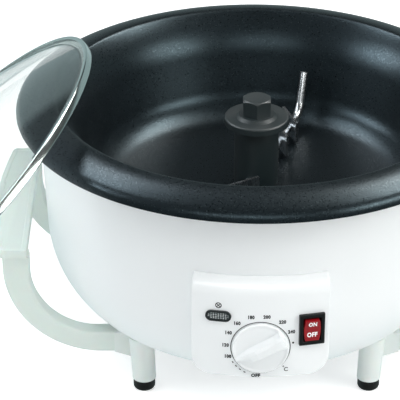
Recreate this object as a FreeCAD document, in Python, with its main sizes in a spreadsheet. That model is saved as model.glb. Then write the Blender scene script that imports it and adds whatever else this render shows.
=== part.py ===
import FreeCAD, Part

import math
import os
import re

import Sketcher

# Home coffee bean roaster: a white bowl-shaped housing on four legs, a black non-stick pan with a
# driven stirrer, a front control panel, a handle on each side and a loose glass lid, which leans
# against the pan's left rim.
#
# Millimetres and degrees. Origin on the pan's axis, on the plane that the four foot tips stand on.
# +Z is up, -Y is the front with the control panel, +X is the right-hand handle.

SIZES = {
    # Legs and foot tips
    "leg_outset": 0.37,
    "leg_radius": 6.75,
    "leg_draft": 0.45,
    "leg_splay": 1.3,
    "foot_height": 7.0,
    "foot_radius": 6.3,
    "foot_peg_radius": 3.0,
    "foot_peg_length": 7.0,
    "foot_edge_radius": 2.4,
    "leg_lap": 6.0,
    "bracket_depth": 12.7,
    "bracket_drop": 3.4,
    "bracket_lap": 4.0,
    "leg_screw_inset": 3.4,
    "leg_screw_reach": 11.0,
    "hole_relief": 0.5,
    # Housing
    "base_level": 29.5,
    "shell_height": 117.0,
    "shell_top_radius": 124.4,
    "shell_waist_radius": 121.0,
    "shell_waist_height": 53.3,
    "shell_bottom_radius": 90.7,
    "shell_wall": 2.6,
    "flange_width": 16.0,
    "base_thickness": 1.2,
    "base_screw_inset": 5.5,
    "base_screw_count": 6,
    "base_screw_reach": 7.0,
    "base_edge_margin": 2.5,
    "boss_radius": 4.0,
    "boss_height": 7.0,
    "boss_cap": 1.0,
    "vent_count": 14,
    "vent_inner_radius": 44.0,
    "vent_length": 9.0,
    "vent_width": 5.0,
    # Screws
    "screw_radius": 1.5,
    "screw_head_radius": 3.0,
    "screw_head_height": 2.0,
    "fit_gap": 0.1,
    "bearing_gap": 0.05,
    "moving_gap": 0.4,
    # Pan
    "rim_overhang": 11.6,
    "rim_width": 20.0,
    "rim_height": 11.0,
    "rim_shoulder_radius": 7.5,
    "rim_skirt_drop": 0.5,
    "rim_skirt_wall": 2.4,
    "rim_crest_wall": 6.0,
    "lip_radius": 3.3,
    "pan_depth": 60.0,
    "pan_corner_radius": 20.0,
    "pan_wall_lean": 64.0,
    "pan_wall": 3.0,
    "spindle_post_radius": 9.0,
    "spindle_post_height": 20.0,
    "tie_ring_radius": 63.0,
    "tie_boss_radius": 5.0,
    "tie_boss_height": 9.0,
    "tie_count": 3,
    "tie_radius": 1.9,
    "tie_head_radius": 3.8,
    "tie_tip_margin": 1.0,
    "spacer_radius": 3.6,
    "gasket_width": 4.6,
    # Heater
    "element_ring_radius": 46.0,
    "element_radius": 3.2,
    "element_sweep": 320.0,
    "element_drop": 22.0,
    "element_hole_margin": 1.2,
    "pan_spacer_length": 9.2,
    "shield_floor_radius": 78.0,
    "shield_rim_radius": 102.0,
    "shield_rim_rise": 13.0,
    "shield_thickness": 0.8,
    "shield_lip": 4.0,
    "shield_hole_margin": 2.0,
    # Drive
    "shaft_radius": 4.0,
    "bush_radius": 5.5,
    "bush_flange_width": 2.0,
    "bush_flange_thickness": 1.5,
    "seal_inset": 0.5,
    "seal_height": 1.5,
    "motor_radius": 24.5,
    "motor_height": 21.0,
    "motor_nose": 0.4,
    "motor_thread_depth": 7.0,
    "motor_screw_reach": 6.0,
    "bracket_level": 58.0,
    "bracket_thickness": 1.6,
    "bracket_span": 58.0,
    "bracket_width": 30.0,
    "bracket_foot": 12.0,
    "motor_bore_radius": 6.0,
    "motor_screw_offset": 17.0,
    "coupling_radius": 8.0,
    "coupling_length": 12.0,
    "coupling_gap": 1.0,
    "spindle_foot": 6.0,
    # Stirrer
    "hub_radius": 12.8,
    "hub_clearance": 0.8,
    "hub_height": 37.0,
    "hub_web": 6.0,
    "hub_floor_gap": 3.0,
    "flange_disc_radius": 18.5,
    "flange_disc_thickness": 4.0,
    "disc_edge_radius": 1.0,
    "disc_boss_margin": 1.4,
    "disc_boss_height": 1.6,
    "cap_radius": 9.0,
    "cap_height": 9.8,
    "cap_web": 3.0,
    "cap_bevel_inset": 0.4,
    "cap_bevel_reach": 1.0,
    "cap_bevel_drop": 2.0,
    "arm_radius": 2.5,
    "arm_level": 7.5,
    "arm_wall_gap": 9.15,
    "arm_tip_rise": 24.0,
    "arm_tip_lean": 68.0,
    "arm_bend_radius": 12.0,
    "arm_turn": 70.0,
    "blade_length": 24.0,
    "blade_height": 13.0,
    "blade_thickness": 1.6,
    "blade_floor_gap": 1.8,
    "blade_twist": 38.0,
    "blade_near_share": 0.33,
    "blade_middle_share": 0.56,
    "blade_far_share": 0.79,
    # Control panel
    "panel_stand": 4.6,
    "panel_half_angle": 16.9,
    "panel_bottom": 48.2,
    "panel_top": 108.0,
    "panel_bevel": 9.0,
    "panel_bevel_run": 5.2,
    "panel_bevel_curve": 11.0,
    "panel_corner_radius": 11.5,
    "panel_edge_radius": 1.2,
    "panel_wall": 2.6,
    "panel_lap": 1.0,
    "panel_end_angle": 1.2,
    "window_half_width": 32.5,
    "window_inset": 6.0,
    "knob_level": 67.2,
    "knob_radius": 15.4,
    "knob_thickness": 1.3,
    "knob_bar_tip": 2.8,
    "knob_bar_width": 7.2,
    "knob_bar_end": 9.0,
    "knob_bar_waist": 5.0,
    "knob_bar_height": 5.9,
    "knob_bar_inset": 0.3,
    "knob_bar_edge": 0.9,
    "knob_cap": 1.2,
    "knob_edge_radius": 0.6,
    "knob_turn": 29.5,
    "spindle_radius": 2.4,
    "thermostat_width": 28.0,
    "thermostat_height": 26.0,
    "thermostat_depth": 20.0,
    "thermostat_gap": 1.2,
    "thermostat_bush_radius": 5.0,
    "switch_level": 77.7,
    "switch_turn": 12.2,
    "bezel_width": 14.0,
    "bezel_height": 18.8,
    "bezel_thickness": 1.8,
    "switch_body_width": 12.4,
    "switch_body_height": 16.6,
    "switch_body_depth": 20.0,
    "terminal_width": 6.3,
    "terminal_thickness": 0.8,
    "terminal_offset": 4.0,
    "terminal_length": 8.0,
    "rocker_width": 9.2,
    "rocker_height": 13.6,
    "rocker_end_inset": 0.3,
    "rocker_tilt": 6.0,
    "rocker_pivot_depth": 2.6,
    "rocker_end_rise": 3.2,
    "rocker_middle_rise": 2.5,
    "rocker_end_depth": 1.2,
    "rocker_keel_depth": 5.4,
    "rocker_keel_height": 5.2,
    "rocker_well_depth": 10.6,
    "rocker_side_bow": 0.9,
    "pin_radius": 1.3,
    "pin_reach": 0.7,
    "lamp_level": 86.3,
    "lamp_turn": -10.1,
    "lamp_width": 14.0,
    "lamp_height": 6.4,
    "lamp_rim": 0.6,
    "lamp_wall": 0.45,
    "lens_depth": 1.5,
    "neon_radius": 1.28,
    "neon_tail": 4.0,
    "neon_length": 11.0,
    "lamp_stand": 0.9,
    "lamp_depth": 9.0,
    # Rear cord inlet
    "inlet_level": 84.0,
    "inlet_radius": 7.5,
    "inlet_flange_radius": 10.0,
    "inlet_flange_thickness": 3.0,
    "inlet_depth": 9.0,
    "inlet_bore_radius": 3.6,
    "inlet_edge_radius": 1.2,
    "block_length": 30.0,
    "block_width": 14.0,
    "block_height": 16.0,
    "block_offset": 34.0,
    # Side handles
    "arm_width": 11.0,
    "arm_inset": 3.4,
    "bracket_tuck": 2.3,
    "handle_root_level": 21.4,
    "handle_reach": 7.4,
    "handle_straight": 7.1,
    "arm_depth": 15.0,
    "handle_bend_trim": 2.1,
    "handle_top_level": 83.5,
    "handle_edge_radius": 1.6,
    "tongue_length": 8.0,
    "tongue_root": 2.0,
    "tongue_margin": 3.0,
    "grip_thickness": 5.6,
    "grip_inner_inset": 1.1,
    "grip_outer_overhang": 1.2,
    "grip_bow": 5.6,
    "grip_end_overhang": 1.5,
    "grip_corner_radius": 8.0,
    "grip_edge_radius": 2.4,
    "crossbar_height": 4.5,
    "crossbar_inset": 1.6,
    # Glass lid
    "lid_inset": 4.0,
    "lid_band_height": 4.8,
    "lid_band_width": 7.0,
    "lid_band_wall": 0.6,
    "lid_band_lap": 1.0,
    "lid_glass": 3.6,
    "lid_rise": 24.0,
    "lid_hole_radius": 4.0,
    "lid_lean_angle": 43.24,
    "lid_swing_angle": 3.4,
    "lid_shift": -29.1,
    "lid_rest_gap": 0.5,
    "lid_knob_radius": 19.0,
    "lid_knob_neck_radius": 9.0,
    "lid_knob_base_radius": 15.0,
    "lid_knob_height": 27.0,
    "lid_knob_foot": 3.0,
    "lid_knob_neck_start": 8.0,
    "lid_knob_neck_end": 14.0,
    "lid_knob_shoulder": 21.0,
    "lid_knob_edge": 4.0,
    "lid_knob_crown": 1.0,
    "lid_knob_bore": 12.0,
    "lid_screw_length": 11.0,
    "lid_screw_head_radius": 3.2,
    "washer_thickness": 1.5,
    "washer_margin": 5.0,
    "washer_drop": 0.25,
}

# Sizes that follow from the driving ones, as formulas of them.
DERIVED = {
    "leg_offset": "(shell_bottom_radius + leg_outset) / sqrt(2)",
    "leg_screw_offset": "leg_offset - leg_screw_inset",
    "rim_radius": "shell_top_radius + rim_overhang",
    "widest_radius": "max(shell_top_radius; shell_waist_radius)",
    "panel_radius": "widest_radius + panel_stand",
    "cut_reach": "shell_waist_radius + shell_top_radius - 2 * shell_bottom_radius",
    "arm_half_span": "leg_offset - arm_inset",
    "bracket_shell": "shell_waist_radius - shell_curve + "
                     "sqrt(shell_curve^2 - (waist_level - handle_root_level - bracket_depth)^2)",
    "handle_root": "sqrt(bracket_shell^2 - (arm_half_span - arm_width)^2) - bracket_tuck",
    "handle_outer_x": "widest_radius + rim_overhang + handle_reach",
    "handle_inner_x": "handle_outer_x - arm_depth",
    "handle_outer_curve": "min(handle_outer_x - handle_root; handle_top_level - handle_root_level)"
                          " - handle_straight",
    "handle_inner_curve": "handle_outer_curve - arm_depth - handle_bend_trim",
    "grip_inner_x": "handle_inner_x + grip_inner_inset",
    "grip_outer_x": "handle_outer_x + grip_outer_overhang",
    "grip_half_length": "arm_half_span + grip_end_overhang",
    "lid_radius": "rim_radius - lid_inset",
    "shell_top": "base_level + shell_height",
    "waist_level": "base_level + shell_waist_height",
    "shell_inset": "shell_waist_radius - shell_bottom_radius",
    "shell_curve": "(shell_inset^2 + shell_waist_height^2) / (2 * shell_inset)",
    "shell_inner_curve": "shell_curve - shell_wall",
    "shell_inner_bottom": "shell_waist_radius - shell_curve + "
                          "sqrt(shell_inner_curve^2 - (shell_waist_height - shell_wall)^2)",
    "flange_inner": "shell_bottom_radius - flange_width",
    "base_screw_ring": "flange_inner + base_screw_inset",
    "base_radius": "base_screw_ring + base_edge_margin",
    "base_underside": "base_level - base_thickness",
    "hole_radius": "screw_radius + fit_gap",
    "rim_level": "shell_top + rim_skirt_drop",
    "crest_level": "rim_level + rim_height",
    "crest_radius": "rim_radius - rim_width",
    "rim_crown": "(rim_width^2 - 2 * rim_width * rim_shoulder_radius + rim_height^2)"
                 " / (2 * (rim_height - rim_shoulder_radius))",
    "rim_joint": "rim_crown / (rim_crown - rim_shoulder_radius)",
    "rim_joint_radius": "crest_radius + rim_joint * (rim_width - rim_shoulder_radius)",
    "rim_joint_level": "rim_level + rim_height - rim_crown + rim_joint * (rim_crown - rim_height)",
    "seat_level": "crest_level - rim_crest_wall",
    "floor_level": "crest_level - pan_depth",
    "floor_underside": "floor_level - pan_wall",
    "lip_level": "crest_level - lip_radius * (1 - cos(pan_wall_lean))",
    "pan_mouth_radius": "crest_radius - lip_radius * sin(pan_wall_lean)",
    "corner_rise": "pan_corner_radius * (1 - cos(pan_wall_lean))",
    "corner_run": "pan_corner_radius * sin(pan_wall_lean)",
    "wall_foot_radius": "pan_mouth_radius - (lip_level - floor_level - corner_rise)"
                        " / tan(pan_wall_lean)",
    "floor_flat": "wall_foot_radius - corner_run",
    "arm_reach": "wall_foot_radius - arm_wall_gap",
    "outer_corner_radius": "pan_corner_radius + pan_wall",
    "outer_foot_radius": "floor_flat + outer_corner_radius * sin(pan_wall_lean)",
    "outer_foot_level": "floor_underside + outer_corner_radius * (1 - cos(pan_wall_lean))",
    "seat_inner_radius": "outer_foot_radius + (seat_level - outer_foot_level)"
                         " / tan(pan_wall_lean)",
    "post_top": "floor_level + spindle_post_height",
    "tie_boss_level": "floor_underside - tie_boss_height",
    "shield_top": "tie_boss_level - pan_spacer_length",
    "shield_level": "shield_top - shield_thickness",
    "hub_foot": "floor_level + hub_floor_gap",
    "hub_top": "hub_foot + hub_height",
    "disc_top": "hub_top + flange_disc_thickness",
    "boss_top": "disc_top + disc_boss_height",
    "cap_top": "boss_top + cap_height",
    "shaft_top": "cap_top - cap_web",
    "bracket_top": "bracket_level + bracket_thickness",
    "coupling_base": "bracket_top + coupling_gap",
    "coupling_top": "coupling_base + coupling_length",
    "coupling_middle": "coupling_base + coupling_length / 2",
    "motor_base": "bracket_level - motor_height",
    "thermostat_front": "panel_radius - panel_wall - thermostat_gap",
    "knob_back": "panel_radius + moving_gap",
    "knob_face": "knob_back + knob_thickness",
    "spindle_tip": "knob_face + knob_bar_height - knob_cap",
    "bezel_back": "panel_radius + 0.05",
    "bezel_face": "bezel_back + bezel_thickness",
    "rocker_pivot": "bezel_face - rocker_pivot_depth",
    "inlet_wall": "shell_waist_radius + (inlet_level + inlet_flange_radius - waist_level)"
                  " * (shell_top_radius - shell_waist_radius) / (shell_top - waist_level)",
    "inlet_seat": "max(inlet_wall; shell_waist_radius)",
    "grip_top": "handle_top_level + grip_thickness",
    "glass_level": "lid_band_wall",
    "lid_inner": "lid_radius - lid_band_width",
    "dome_radius": "(lid_inner^2 + lid_rise^2) / (2 * lid_rise)",
    "dome_inner_top": "glass_level + lid_rise",
    "dome_top": "dome_inner_top + lid_glass",
    "knob_crown": "dome_top + lid_knob_height",
    "washer_base": "dome_inner_top - washer_drop - washer_thickness",
}

LEFT = 1
RIGHT = -1
NAME = re.compile(r"[a-z][a-z_]+")

doc = FreeCAD.newDocument("CoffeeRoaster")
sheet = doc.addObject("Spreadsheet::Sheet", "Sizes")
outputs = []


def fill_sheet():
    """Write every driving size into the spreadsheet, beside its name."""
    for row, (name, value) in enumerate(SIZES.items(), 1):
        sheet.set(f"A{row}", name)
        sheet.set(f"B{row}", str(value))
        sheet.setAlias(f"B{row}", name)
    doc.recompute()


def expand(formula, prefix=""):
    """A formula with its derived names opened out and its driving names prefixed."""
    def swap(match):
        name = match[0]
        if name in DERIVED:
            return "(" + expand(DERIVED[name], prefix) + ")"
        if name in SIZES:
            return prefix + name
        return name
    return NAME.sub(swap, str(formula))


def value(formula):
    """What a formula comes to with the spreadsheet's present sizes."""
    return float(sheet.evalExpression(expand(formula)))


def bind(target, prop, formula):
    """Drive one property of an object by a formula of the spreadsheet's sizes."""
    target.setExpression(prop, expand(formula, "Sizes."))


def keep(item, label):
    """List a sub-part to be written under its label."""
    item.Label = label
    outputs.append(item)
    return item


# --- Sketches and features -----------------------------------------------------------------------

def new_body(label):
    """An empty PartDesign body, which may hold separate solids."""
    body = doc.addObject("PartDesign::Body", label)
    body.Label = label
    body.AllowCompound = True
    return body


def new_sketch(body, plane, offset="0", turn="0"):
    """A sketch on one of the body's own origin planes, lifted and turned on that plane."""
    sketch = body.newObject("Sketcher::SketchObject", body.Name + "_outline")
    face = next(f for f in body.Origin.OriginFeatures if f.Role == plane)
    sketch.AttachmentSupport = (face, [""])
    sketch.MapMode = "FlatFace"
    bind(sketch, "AttachmentOffset.Base.z", offset)
    if turn != "0":
        sketch.AttachmentOffset = FreeCAD.Placement(
            FreeCAD.Vector(), FreeCAD.Rotation(FreeCAD.Vector(0, 0, 1), value(turn)))
        bind(sketch, "AttachmentOffset.Base.z", offset)
        bind(sketch, "AttachmentOffset.Rotation.Angle", turn)
    return sketch


def pin_point(sketch, geometry, end, x, y):
    """Hold a sketch point at a place given by two formulas."""
    for formula, kind, axis in ((x, "DistanceX", -2), (y, "DistanceY", -1)):
        size = value(formula)
        if abs(size) < 1e-9:
            sketch.addConstraint(Sketcher.Constraint("PointOnObject", geometry, end, axis))
        elif size > 0:
            at = sketch.addConstraint(Sketcher.Constraint(kind, -1, 1, geometry, end, size))
            bind(sketch, f"Constraints[{at}]", formula)
        else:
            at = sketch.addConstraint(Sketcher.Constraint(kind, geometry, end, -1, 1, -size))
            bind(sketch, f"Constraints[{at}]", f"-({formula})")


def arc_through(start, end, radius, side):
    """The arc of the given radius from start to end, turning left or right, under half a turn."""
    chord = end - start
    half = chord.Length / 2
    rise = math.sqrt(max(radius * radius - half * half, 0.0))
    across = FreeCAD.Vector(-chord.y, chord.x, 0).normalize()
    centre = (start + end) * 0.5 + across * rise * side
    first = math.atan2(start.y - centre.y, start.x - centre.x)
    last = math.atan2(end.y - centre.y, end.x - centre.x)
    circle = Part.Circle(centre, FreeCAD.Vector(0, 0, 1), radius)
    if side == LEFT:
        return Part.ArcOfCircle(circle, first, last)
    return Part.ArcOfCircle(circle, last, first)


def draw(sketch, path, closed=True):
    """Draw an outline through points given as formulas. A point with a radius and a side ends an
    arc, any other ends a straight line."""
    places = [FreeCAD.Vector(value(p[0]), value(p[1]), 0) for p in path]
    spans = []
    count = len(path) if closed else len(path) - 1
    for i in range(count):
        j = (i + 1) % len(path)
        if len(path[j]) > 2:
            radius, side = path[j][2], path[j][3]
            arc = arc_through(places[i], places[j], value(radius), side)
            at = sketch.addGeometry(arc)
            limit = sketch.addConstraint(Sketcher.Constraint("Radius", at, value(radius)))
            bind(sketch, f"Constraints[{limit}]", radius)
            spans.append((at, 1, 2) if side == LEFT else (at, 2, 1))
        else:
            at = sketch.addGeometry(Part.LineSegment(places[i], places[j]))
            spans.append((at, 1, 2))
    for i, span in enumerate(spans):
        if closed or i + 1 < len(spans):
            after = spans[(i + 1) % len(spans)]
            sketch.addConstraint(
                Sketcher.Constraint("Coincident", span[0], span[2], after[0], after[1]))
    for i, point in enumerate(path):
        if i < len(spans):
            pin_point(sketch, spans[i][0], spans[i][1], point[0], point[1])
        else:
            pin_point(sketch, spans[-1][0], spans[-1][2], point[0], point[1])
    return sketch


def draw_circle(sketch, radius, x="0", y="0"):
    """Add a circle with its centre and radius given as formulas."""
    centre = FreeCAD.Vector(value(x), value(y), 0)
    circle = Part.Circle(centre, FreeCAD.Vector(0, 0, 1), value(radius))
    at = sketch.addGeometry(circle)
    limit = sketch.addConstraint(Sketcher.Constraint("Radius", at, value(radius)))
    bind(sketch, f"Constraints[{limit}]", radius)
    pin_point(sketch, at, 3, x, y)
    return sketch


def draw_box(sketch, width, height, x="0", y="0"):
    """Add a rectangle about a centre."""
    left, right = f"{x} - ({width}) / 2", f"{x} + ({width}) / 2"
    low, high = f"{y} - ({height}) / 2", f"{y} + ({height}) / 2"
    return draw(sketch, [(left, low), (right, low), (right, high), (left, high)])


def draw_slot(sketch, width, height):
    """Add an oval with round ends, centred on the sketch's origin and wider than high."""
    end = f"(({width}) - ({height})) / 2"
    cap = f"({height}) / 2"
    return draw(sketch, [(f"-{end}", f"-{cap}", cap, LEFT), (end, f"-{cap}"),
                         (f"{end} + {cap}", "0", cap, LEFT), (end, cap, cap, LEFT),
                         (f"-{end}", cap), (f"-{end} - {cap}", "0", cap, LEFT)])


def revolve(body, sketch, angle="360", cut=False):
    """Turn a sketch about its own vertical axis, as material or as a cut."""
    kind = "PartDesign::Groove" if cut else "PartDesign::Revolution"
    turned = body.newObject(kind, body.Name + "_turned")
    turned.Profile = sketch
    turned.ReferenceAxis = (sketch, ["V_Axis"])
    turned.Midplane = angle != "360"
    bind(turned, "Angle", angle)
    return turned


def pad(body, sketch, length, middle=False, back=False):
    """Push a sketch out along its normal, to both sides or backwards on request."""
    block = body.newObject("PartDesign::Pad", body.Name + "_pad")
    block.Profile = sketch
    block.Midplane = middle
    block.Reversed = back
    bind(block, "Length", length)
    return block


def pocket(body, sketch, depth, middle=False, forward=False):
    """Cut a sketch against its normal, or along it, and make sure that it removes material."""
    doc.recompute()
    before = body.Shape.Volume
    hole = body.newObject("PartDesign::Pocket", body.Name + "_pocket")
    hole.Profile = sketch
    hole.Midplane = middle
    hole.Reversed = forward
    bind(hole, "Length", depth)
    doc.recompute()
    if not body.Shape.Volume < before - 1e-3:
        raise RuntimeError(f"{hole.Name} in {body.Label} removes nothing")
    return hole


def ring_pattern(body, features, count):
    """Repeat features evenly about the body's vertical axis."""
    pattern = body.newObject("PartDesign::PolarPattern", body.Name + "_ring")
    pattern.Originals = features
    pattern.Axis = (features[0].Profile[0], ["N_Axis"])
    pattern.Angle = 360
    bind(pattern, "Occurrences", count)
    body.Tip = pattern
    return pattern


def round_edges(body, radius, chosen):
    """Fillet those edges of the body's tip that a test on the edge picks out."""
    doc.recompute()
    base = body.Tip
    names = [f"Edge{i}" for i, edge in enumerate(base.Shape.Edges, 1) if chosen(edge)]
    if not names:
        raise RuntimeError(f"no edge to round on {body.Label}")
    fillet = body.newObject("PartDesign::Fillet", body.Name + "_fillet")
    fillet.Base = (base, names)
    bind(fillet, "Radius", radius)
    return fillet


def box_of(edge):
    """An edge's bounding box."""
    return edge.BoundBox


def level_circle(z, radius):
    """A test for the full circles at a height and of a radius about the vertical axis."""
    def test(edge):
        box = box_of(edge)
        return (abs(box.ZMin - z) < 1e-3 and abs(box.ZMax - z) < 1e-3
                and abs(box.XMax - radius) < 1e-3 and abs(box.XMin + radius) < 1e-3)
    return test


def turned_body(label, path):
    """A body made by turning one outline about the vertical axis."""
    body = new_body(label)
    revolve(body, draw(new_sketch(body, "XZ_Plane"), path))
    return body


def tube(label, outer, inner, low, high):
    """A plain ring or sleeve on the vertical axis."""
    return turned_body(label, [(inner, low), (outer, low), (outer, high), (inner, high)])


def cut_by(base, tool, label):
    """The first object less the second."""
    result = doc.addObject("Part::Cut", label)
    result.Base = base
    result.Tool = tool
    return result


def mirrored(source, normal, label):
    """A mirror copy of an object in a plane through the origin."""
    copy = doc.addObject("Part::Mirroring", label)
    copy.Source = source
    copy.Normal = normal
    return keep(copy, label)


def swing(item, angle):
    """Turn an object about the vertical axis by a formula's angle."""
    item.Placement = FreeCAD.Placement(
        FreeCAD.Vector(), FreeCAD.Rotation(FreeCAD.Vector(0, 0, 1), value(angle)))
    bind(item, "Placement.Rotation.Angle", angle)


# --- Housing -------------------------------------------------------------------------------------

def shell_envelope():
    """The solid that the housing and its base plate take up, which other pieces are trimmed by."""
    return turned_body("shell_envelope", [
        ("0", "foot_height"), ("base_radius + moving_gap", "foot_height"),
        ("base_radius + moving_gap", "base_level"), ("shell_bottom_radius", "base_level"),
        ("shell_waist_radius", "waist_level", "shell_curve", LEFT),
        ("shell_top_radius", "shell_top"), ("0", "shell_top")])


def body_shell():
    """The white bowl-shaped housing, with its bottom flange, bosses and openings."""
    body = turned_body("body_shell", [
        ("flange_inner", "base_level"), ("shell_bottom_radius", "base_level"),
        ("shell_waist_radius", "waist_level", "shell_curve", LEFT),
        ("shell_top_radius", "shell_top"),
        ("shell_top_radius - shell_wall", "shell_top"),
        ("shell_waist_radius - shell_wall", "waist_level"),
        ("shell_inner_bottom", "base_level + shell_wall", "shell_inner_curve", RIGHT),
        ("flange_inner", "base_level + shell_wall")])
    boss = draw_circle(new_sketch(body, "XY_Plane", "base_level + shell_wall"),
                       "boss_radius", "base_screw_ring")
    bosses = pad(body, boss, "boss_height")
    ring_pattern(body, [bosses], "base_screw_count")
    drill = draw_circle(new_sketch(body, "XY_Plane", "base_level"), "hole_radius",
                        "base_screw_ring")
    holes = pocket(body, drill, "shell_wall + boss_height - boss_cap", forward=True)
    ring_pattern(body, [holes], "base_screw_count")
    leg_holes = new_sketch(body, "XY_Plane", "base_level")
    for x in ("leg_screw_offset", "-leg_screw_offset"):
        for y in ("leg_screw_offset", "-leg_screw_offset"):
            draw_circle(leg_holes, "hole_radius", x, y)
    pocket(body, leg_holes, "shell_wall", forward=True)
    window = new_sketch(body, "XZ_Plane", "shell_bottom_radius")
    low, high = "panel_bottom + window_inset", "panel_top - window_inset"
    draw(window, [("-window_half_width", low), ("window_half_width", low),
                  ("window_half_width", high), ("-window_half_width", high)])
    pocket(body, window, "cut_reach", forward=True)
    inlet = draw_circle(new_sketch(body, "XZ_Plane", "-shell_bottom_radius"), "inlet_radius", "0",
                        "inlet_level")
    pocket(body, inlet, "cut_reach")
    return keep(body, "body_shell")


def base_plate():
    """The round steel plate that closes the housing from below, with a ring of vent slots."""
    body = new_body("base_plate")
    disc = draw_circle(new_sketch(body, "XY_Plane", "base_underside"), "base_radius")
    pad(body, disc, "base_thickness")
    hole = draw_circle(new_sketch(body, "XY_Plane", "base_underside"), "hole_radius",
                       "base_screw_ring")
    holes = pocket(body, hole, "base_thickness", forward=True)
    ring_pattern(body, [holes], "base_screw_count")
    tie = draw_circle(new_sketch(body, "XY_Plane", "base_underside"), "tie_radius + fit_gap",
                      "tie_ring_radius")
    ties = pocket(body, tie, "base_thickness", forward=True)
    ring_pattern(body, [ties], "tie_count")
    vent = draw_box(new_sketch(body, "XY_Plane", "base_underside"), "vent_length", "vent_width",
                    "vent_inner_radius + vent_length / 2", "0")
    vents = pocket(body, vent, "base_thickness", forward=True)
    ring_pattern(body, [vents], "vent_count")
    return keep(body, "base_plate")


def screw_ring(label, ring, count, shank, head_level, length, head_above):
    """Evenly spaced vertical screws, whose heads stand above or below the level they seat on."""
    body = new_body(label)
    head = draw_circle(new_sketch(body, "XY_Plane", head_level), "screw_head_radius", ring)
    heads = pad(body, head, "screw_head_height", back=not head_above)
    rod = draw_circle(new_sketch(body, "XY_Plane", head_level), shank, ring)
    rods = pad(body, rod, length, back=head_above)
    ring_pattern(body, [heads, rods], count)
    return keep(body, label)


# --- Legs and feet -------------------------------------------------------------------------------

def legs(envelope):
    """The four legs, each a round post with a bracket that takes a handle's arm, and its tip."""
    body = new_body("leg_blank")
    post_foot = draw_circle(new_sketch(body, "XY_Plane", "foot_height"), "leg_radius",
                            "leg_offset", "leg_offset")
    post_head = draw_circle(new_sketch(body, "XY_Plane", "base_level + leg_lap"),
                            "leg_radius + leg_draft", "leg_offset + leg_splay",
                            "leg_offset + leg_splay")
    post = body.newObject("PartDesign::AdditiveLoft", "leg_post")
    post.Profile = post_foot
    post.Sections = [post_head]
    side = new_sketch(body, "XZ_Plane", "-arm_half_span")
    low = "handle_root_level - bracket_drop"
    draw(side, [("leg_offset - bracket_lap", low), ("leg_offset + leg_radius", low),
                ("handle_root", "handle_root_level"),
                ("handle_root", "handle_root_level + bracket_depth"),
                ("leg_offset - bracket_lap", "handle_root_level + bracket_depth")])
    pad(body, side, "arm_width")
    socket = new_sketch(body, "YZ_Plane", "handle_root - tongue_length - fit_gap")
    draw_box(socket, "arm_width - 2 * tongue_margin + 2 * fit_gap",
             "bracket_depth - 2 * tongue_margin + 2 * fit_gap",
             "arm_half_span - arm_width / 2", "handle_root_level + bracket_depth / 2")
    pocket(body, socket, "tongue_length + fit_gap", forward=True)
    peg = draw_circle(new_sketch(body, "XY_Plane", "foot_height"), "foot_peg_radius + fit_gap",
                      "leg_offset", "leg_offset")
    pocket(body, peg, "foot_peg_length + hole_relief", forward=True)
    bore = draw_circle(new_sketch(body, "XY_Plane", "base_level"), "hole_radius",
                       "leg_screw_offset", "leg_screw_offset")
    pocket(body, bore, "leg_screw_reach + hole_relief")
    back_right = keep(cut_by(body, envelope, "leg_back_right"), "leg_back_right")
    front_right = mirrored(back_right, (0, 1, 0), "leg_front_right")
    mirrored(back_right, (1, 0, 0), "leg_back_left")
    mirrored(front_right, (1, 0, 0), "leg_front_left")

    tip = new_body("foot_tip_back_right")
    foot = draw_circle(new_sketch(tip, "XY_Plane"), "foot_radius", "leg_offset", "leg_offset")
    pad(tip, foot, "foot_height")
    stud = draw_circle(new_sketch(tip, "XY_Plane", "foot_height"), "foot_peg_radius",
                       "leg_offset", "leg_offset")
    pad(tip, stud, "foot_peg_length")
    round_edges(tip, "foot_edge_radius", lambda edge: box_of(edge).ZMax < 1e-3)
    keep(tip, "foot_tip_back_right")
    front = mirrored(tip, (0, 1, 0), "foot_tip_front_right")
    mirrored(tip, (1, 0, 0), "foot_tip_back_left")
    mirrored(front, (1, 0, 0), "foot_tip_front_left")


def leg_screws():
    """The four screws that hold the legs, driven down through the housing's bottom flange."""
    body = new_body("leg_screws")
    heads = new_sketch(body, "XY_Plane", "base_level + shell_wall")
    shanks = new_sketch(body, "XY_Plane", "base_level - leg_screw_reach")
    for x in ("leg_screw_offset", "-leg_screw_offset"):
        for y in ("leg_screw_offset", "-leg_screw_offset"):
            draw_circle(heads, "screw_head_radius", x, y)
            draw_circle(shanks, "screw_radius", x, y)
    pad(body, heads, "screw_head_height")
    pad(body, shanks, "leg_screw_reach + shell_wall")
    return keep(body, "leg_screws")


# --- Side handles --------------------------------------------------------------------------------

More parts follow.
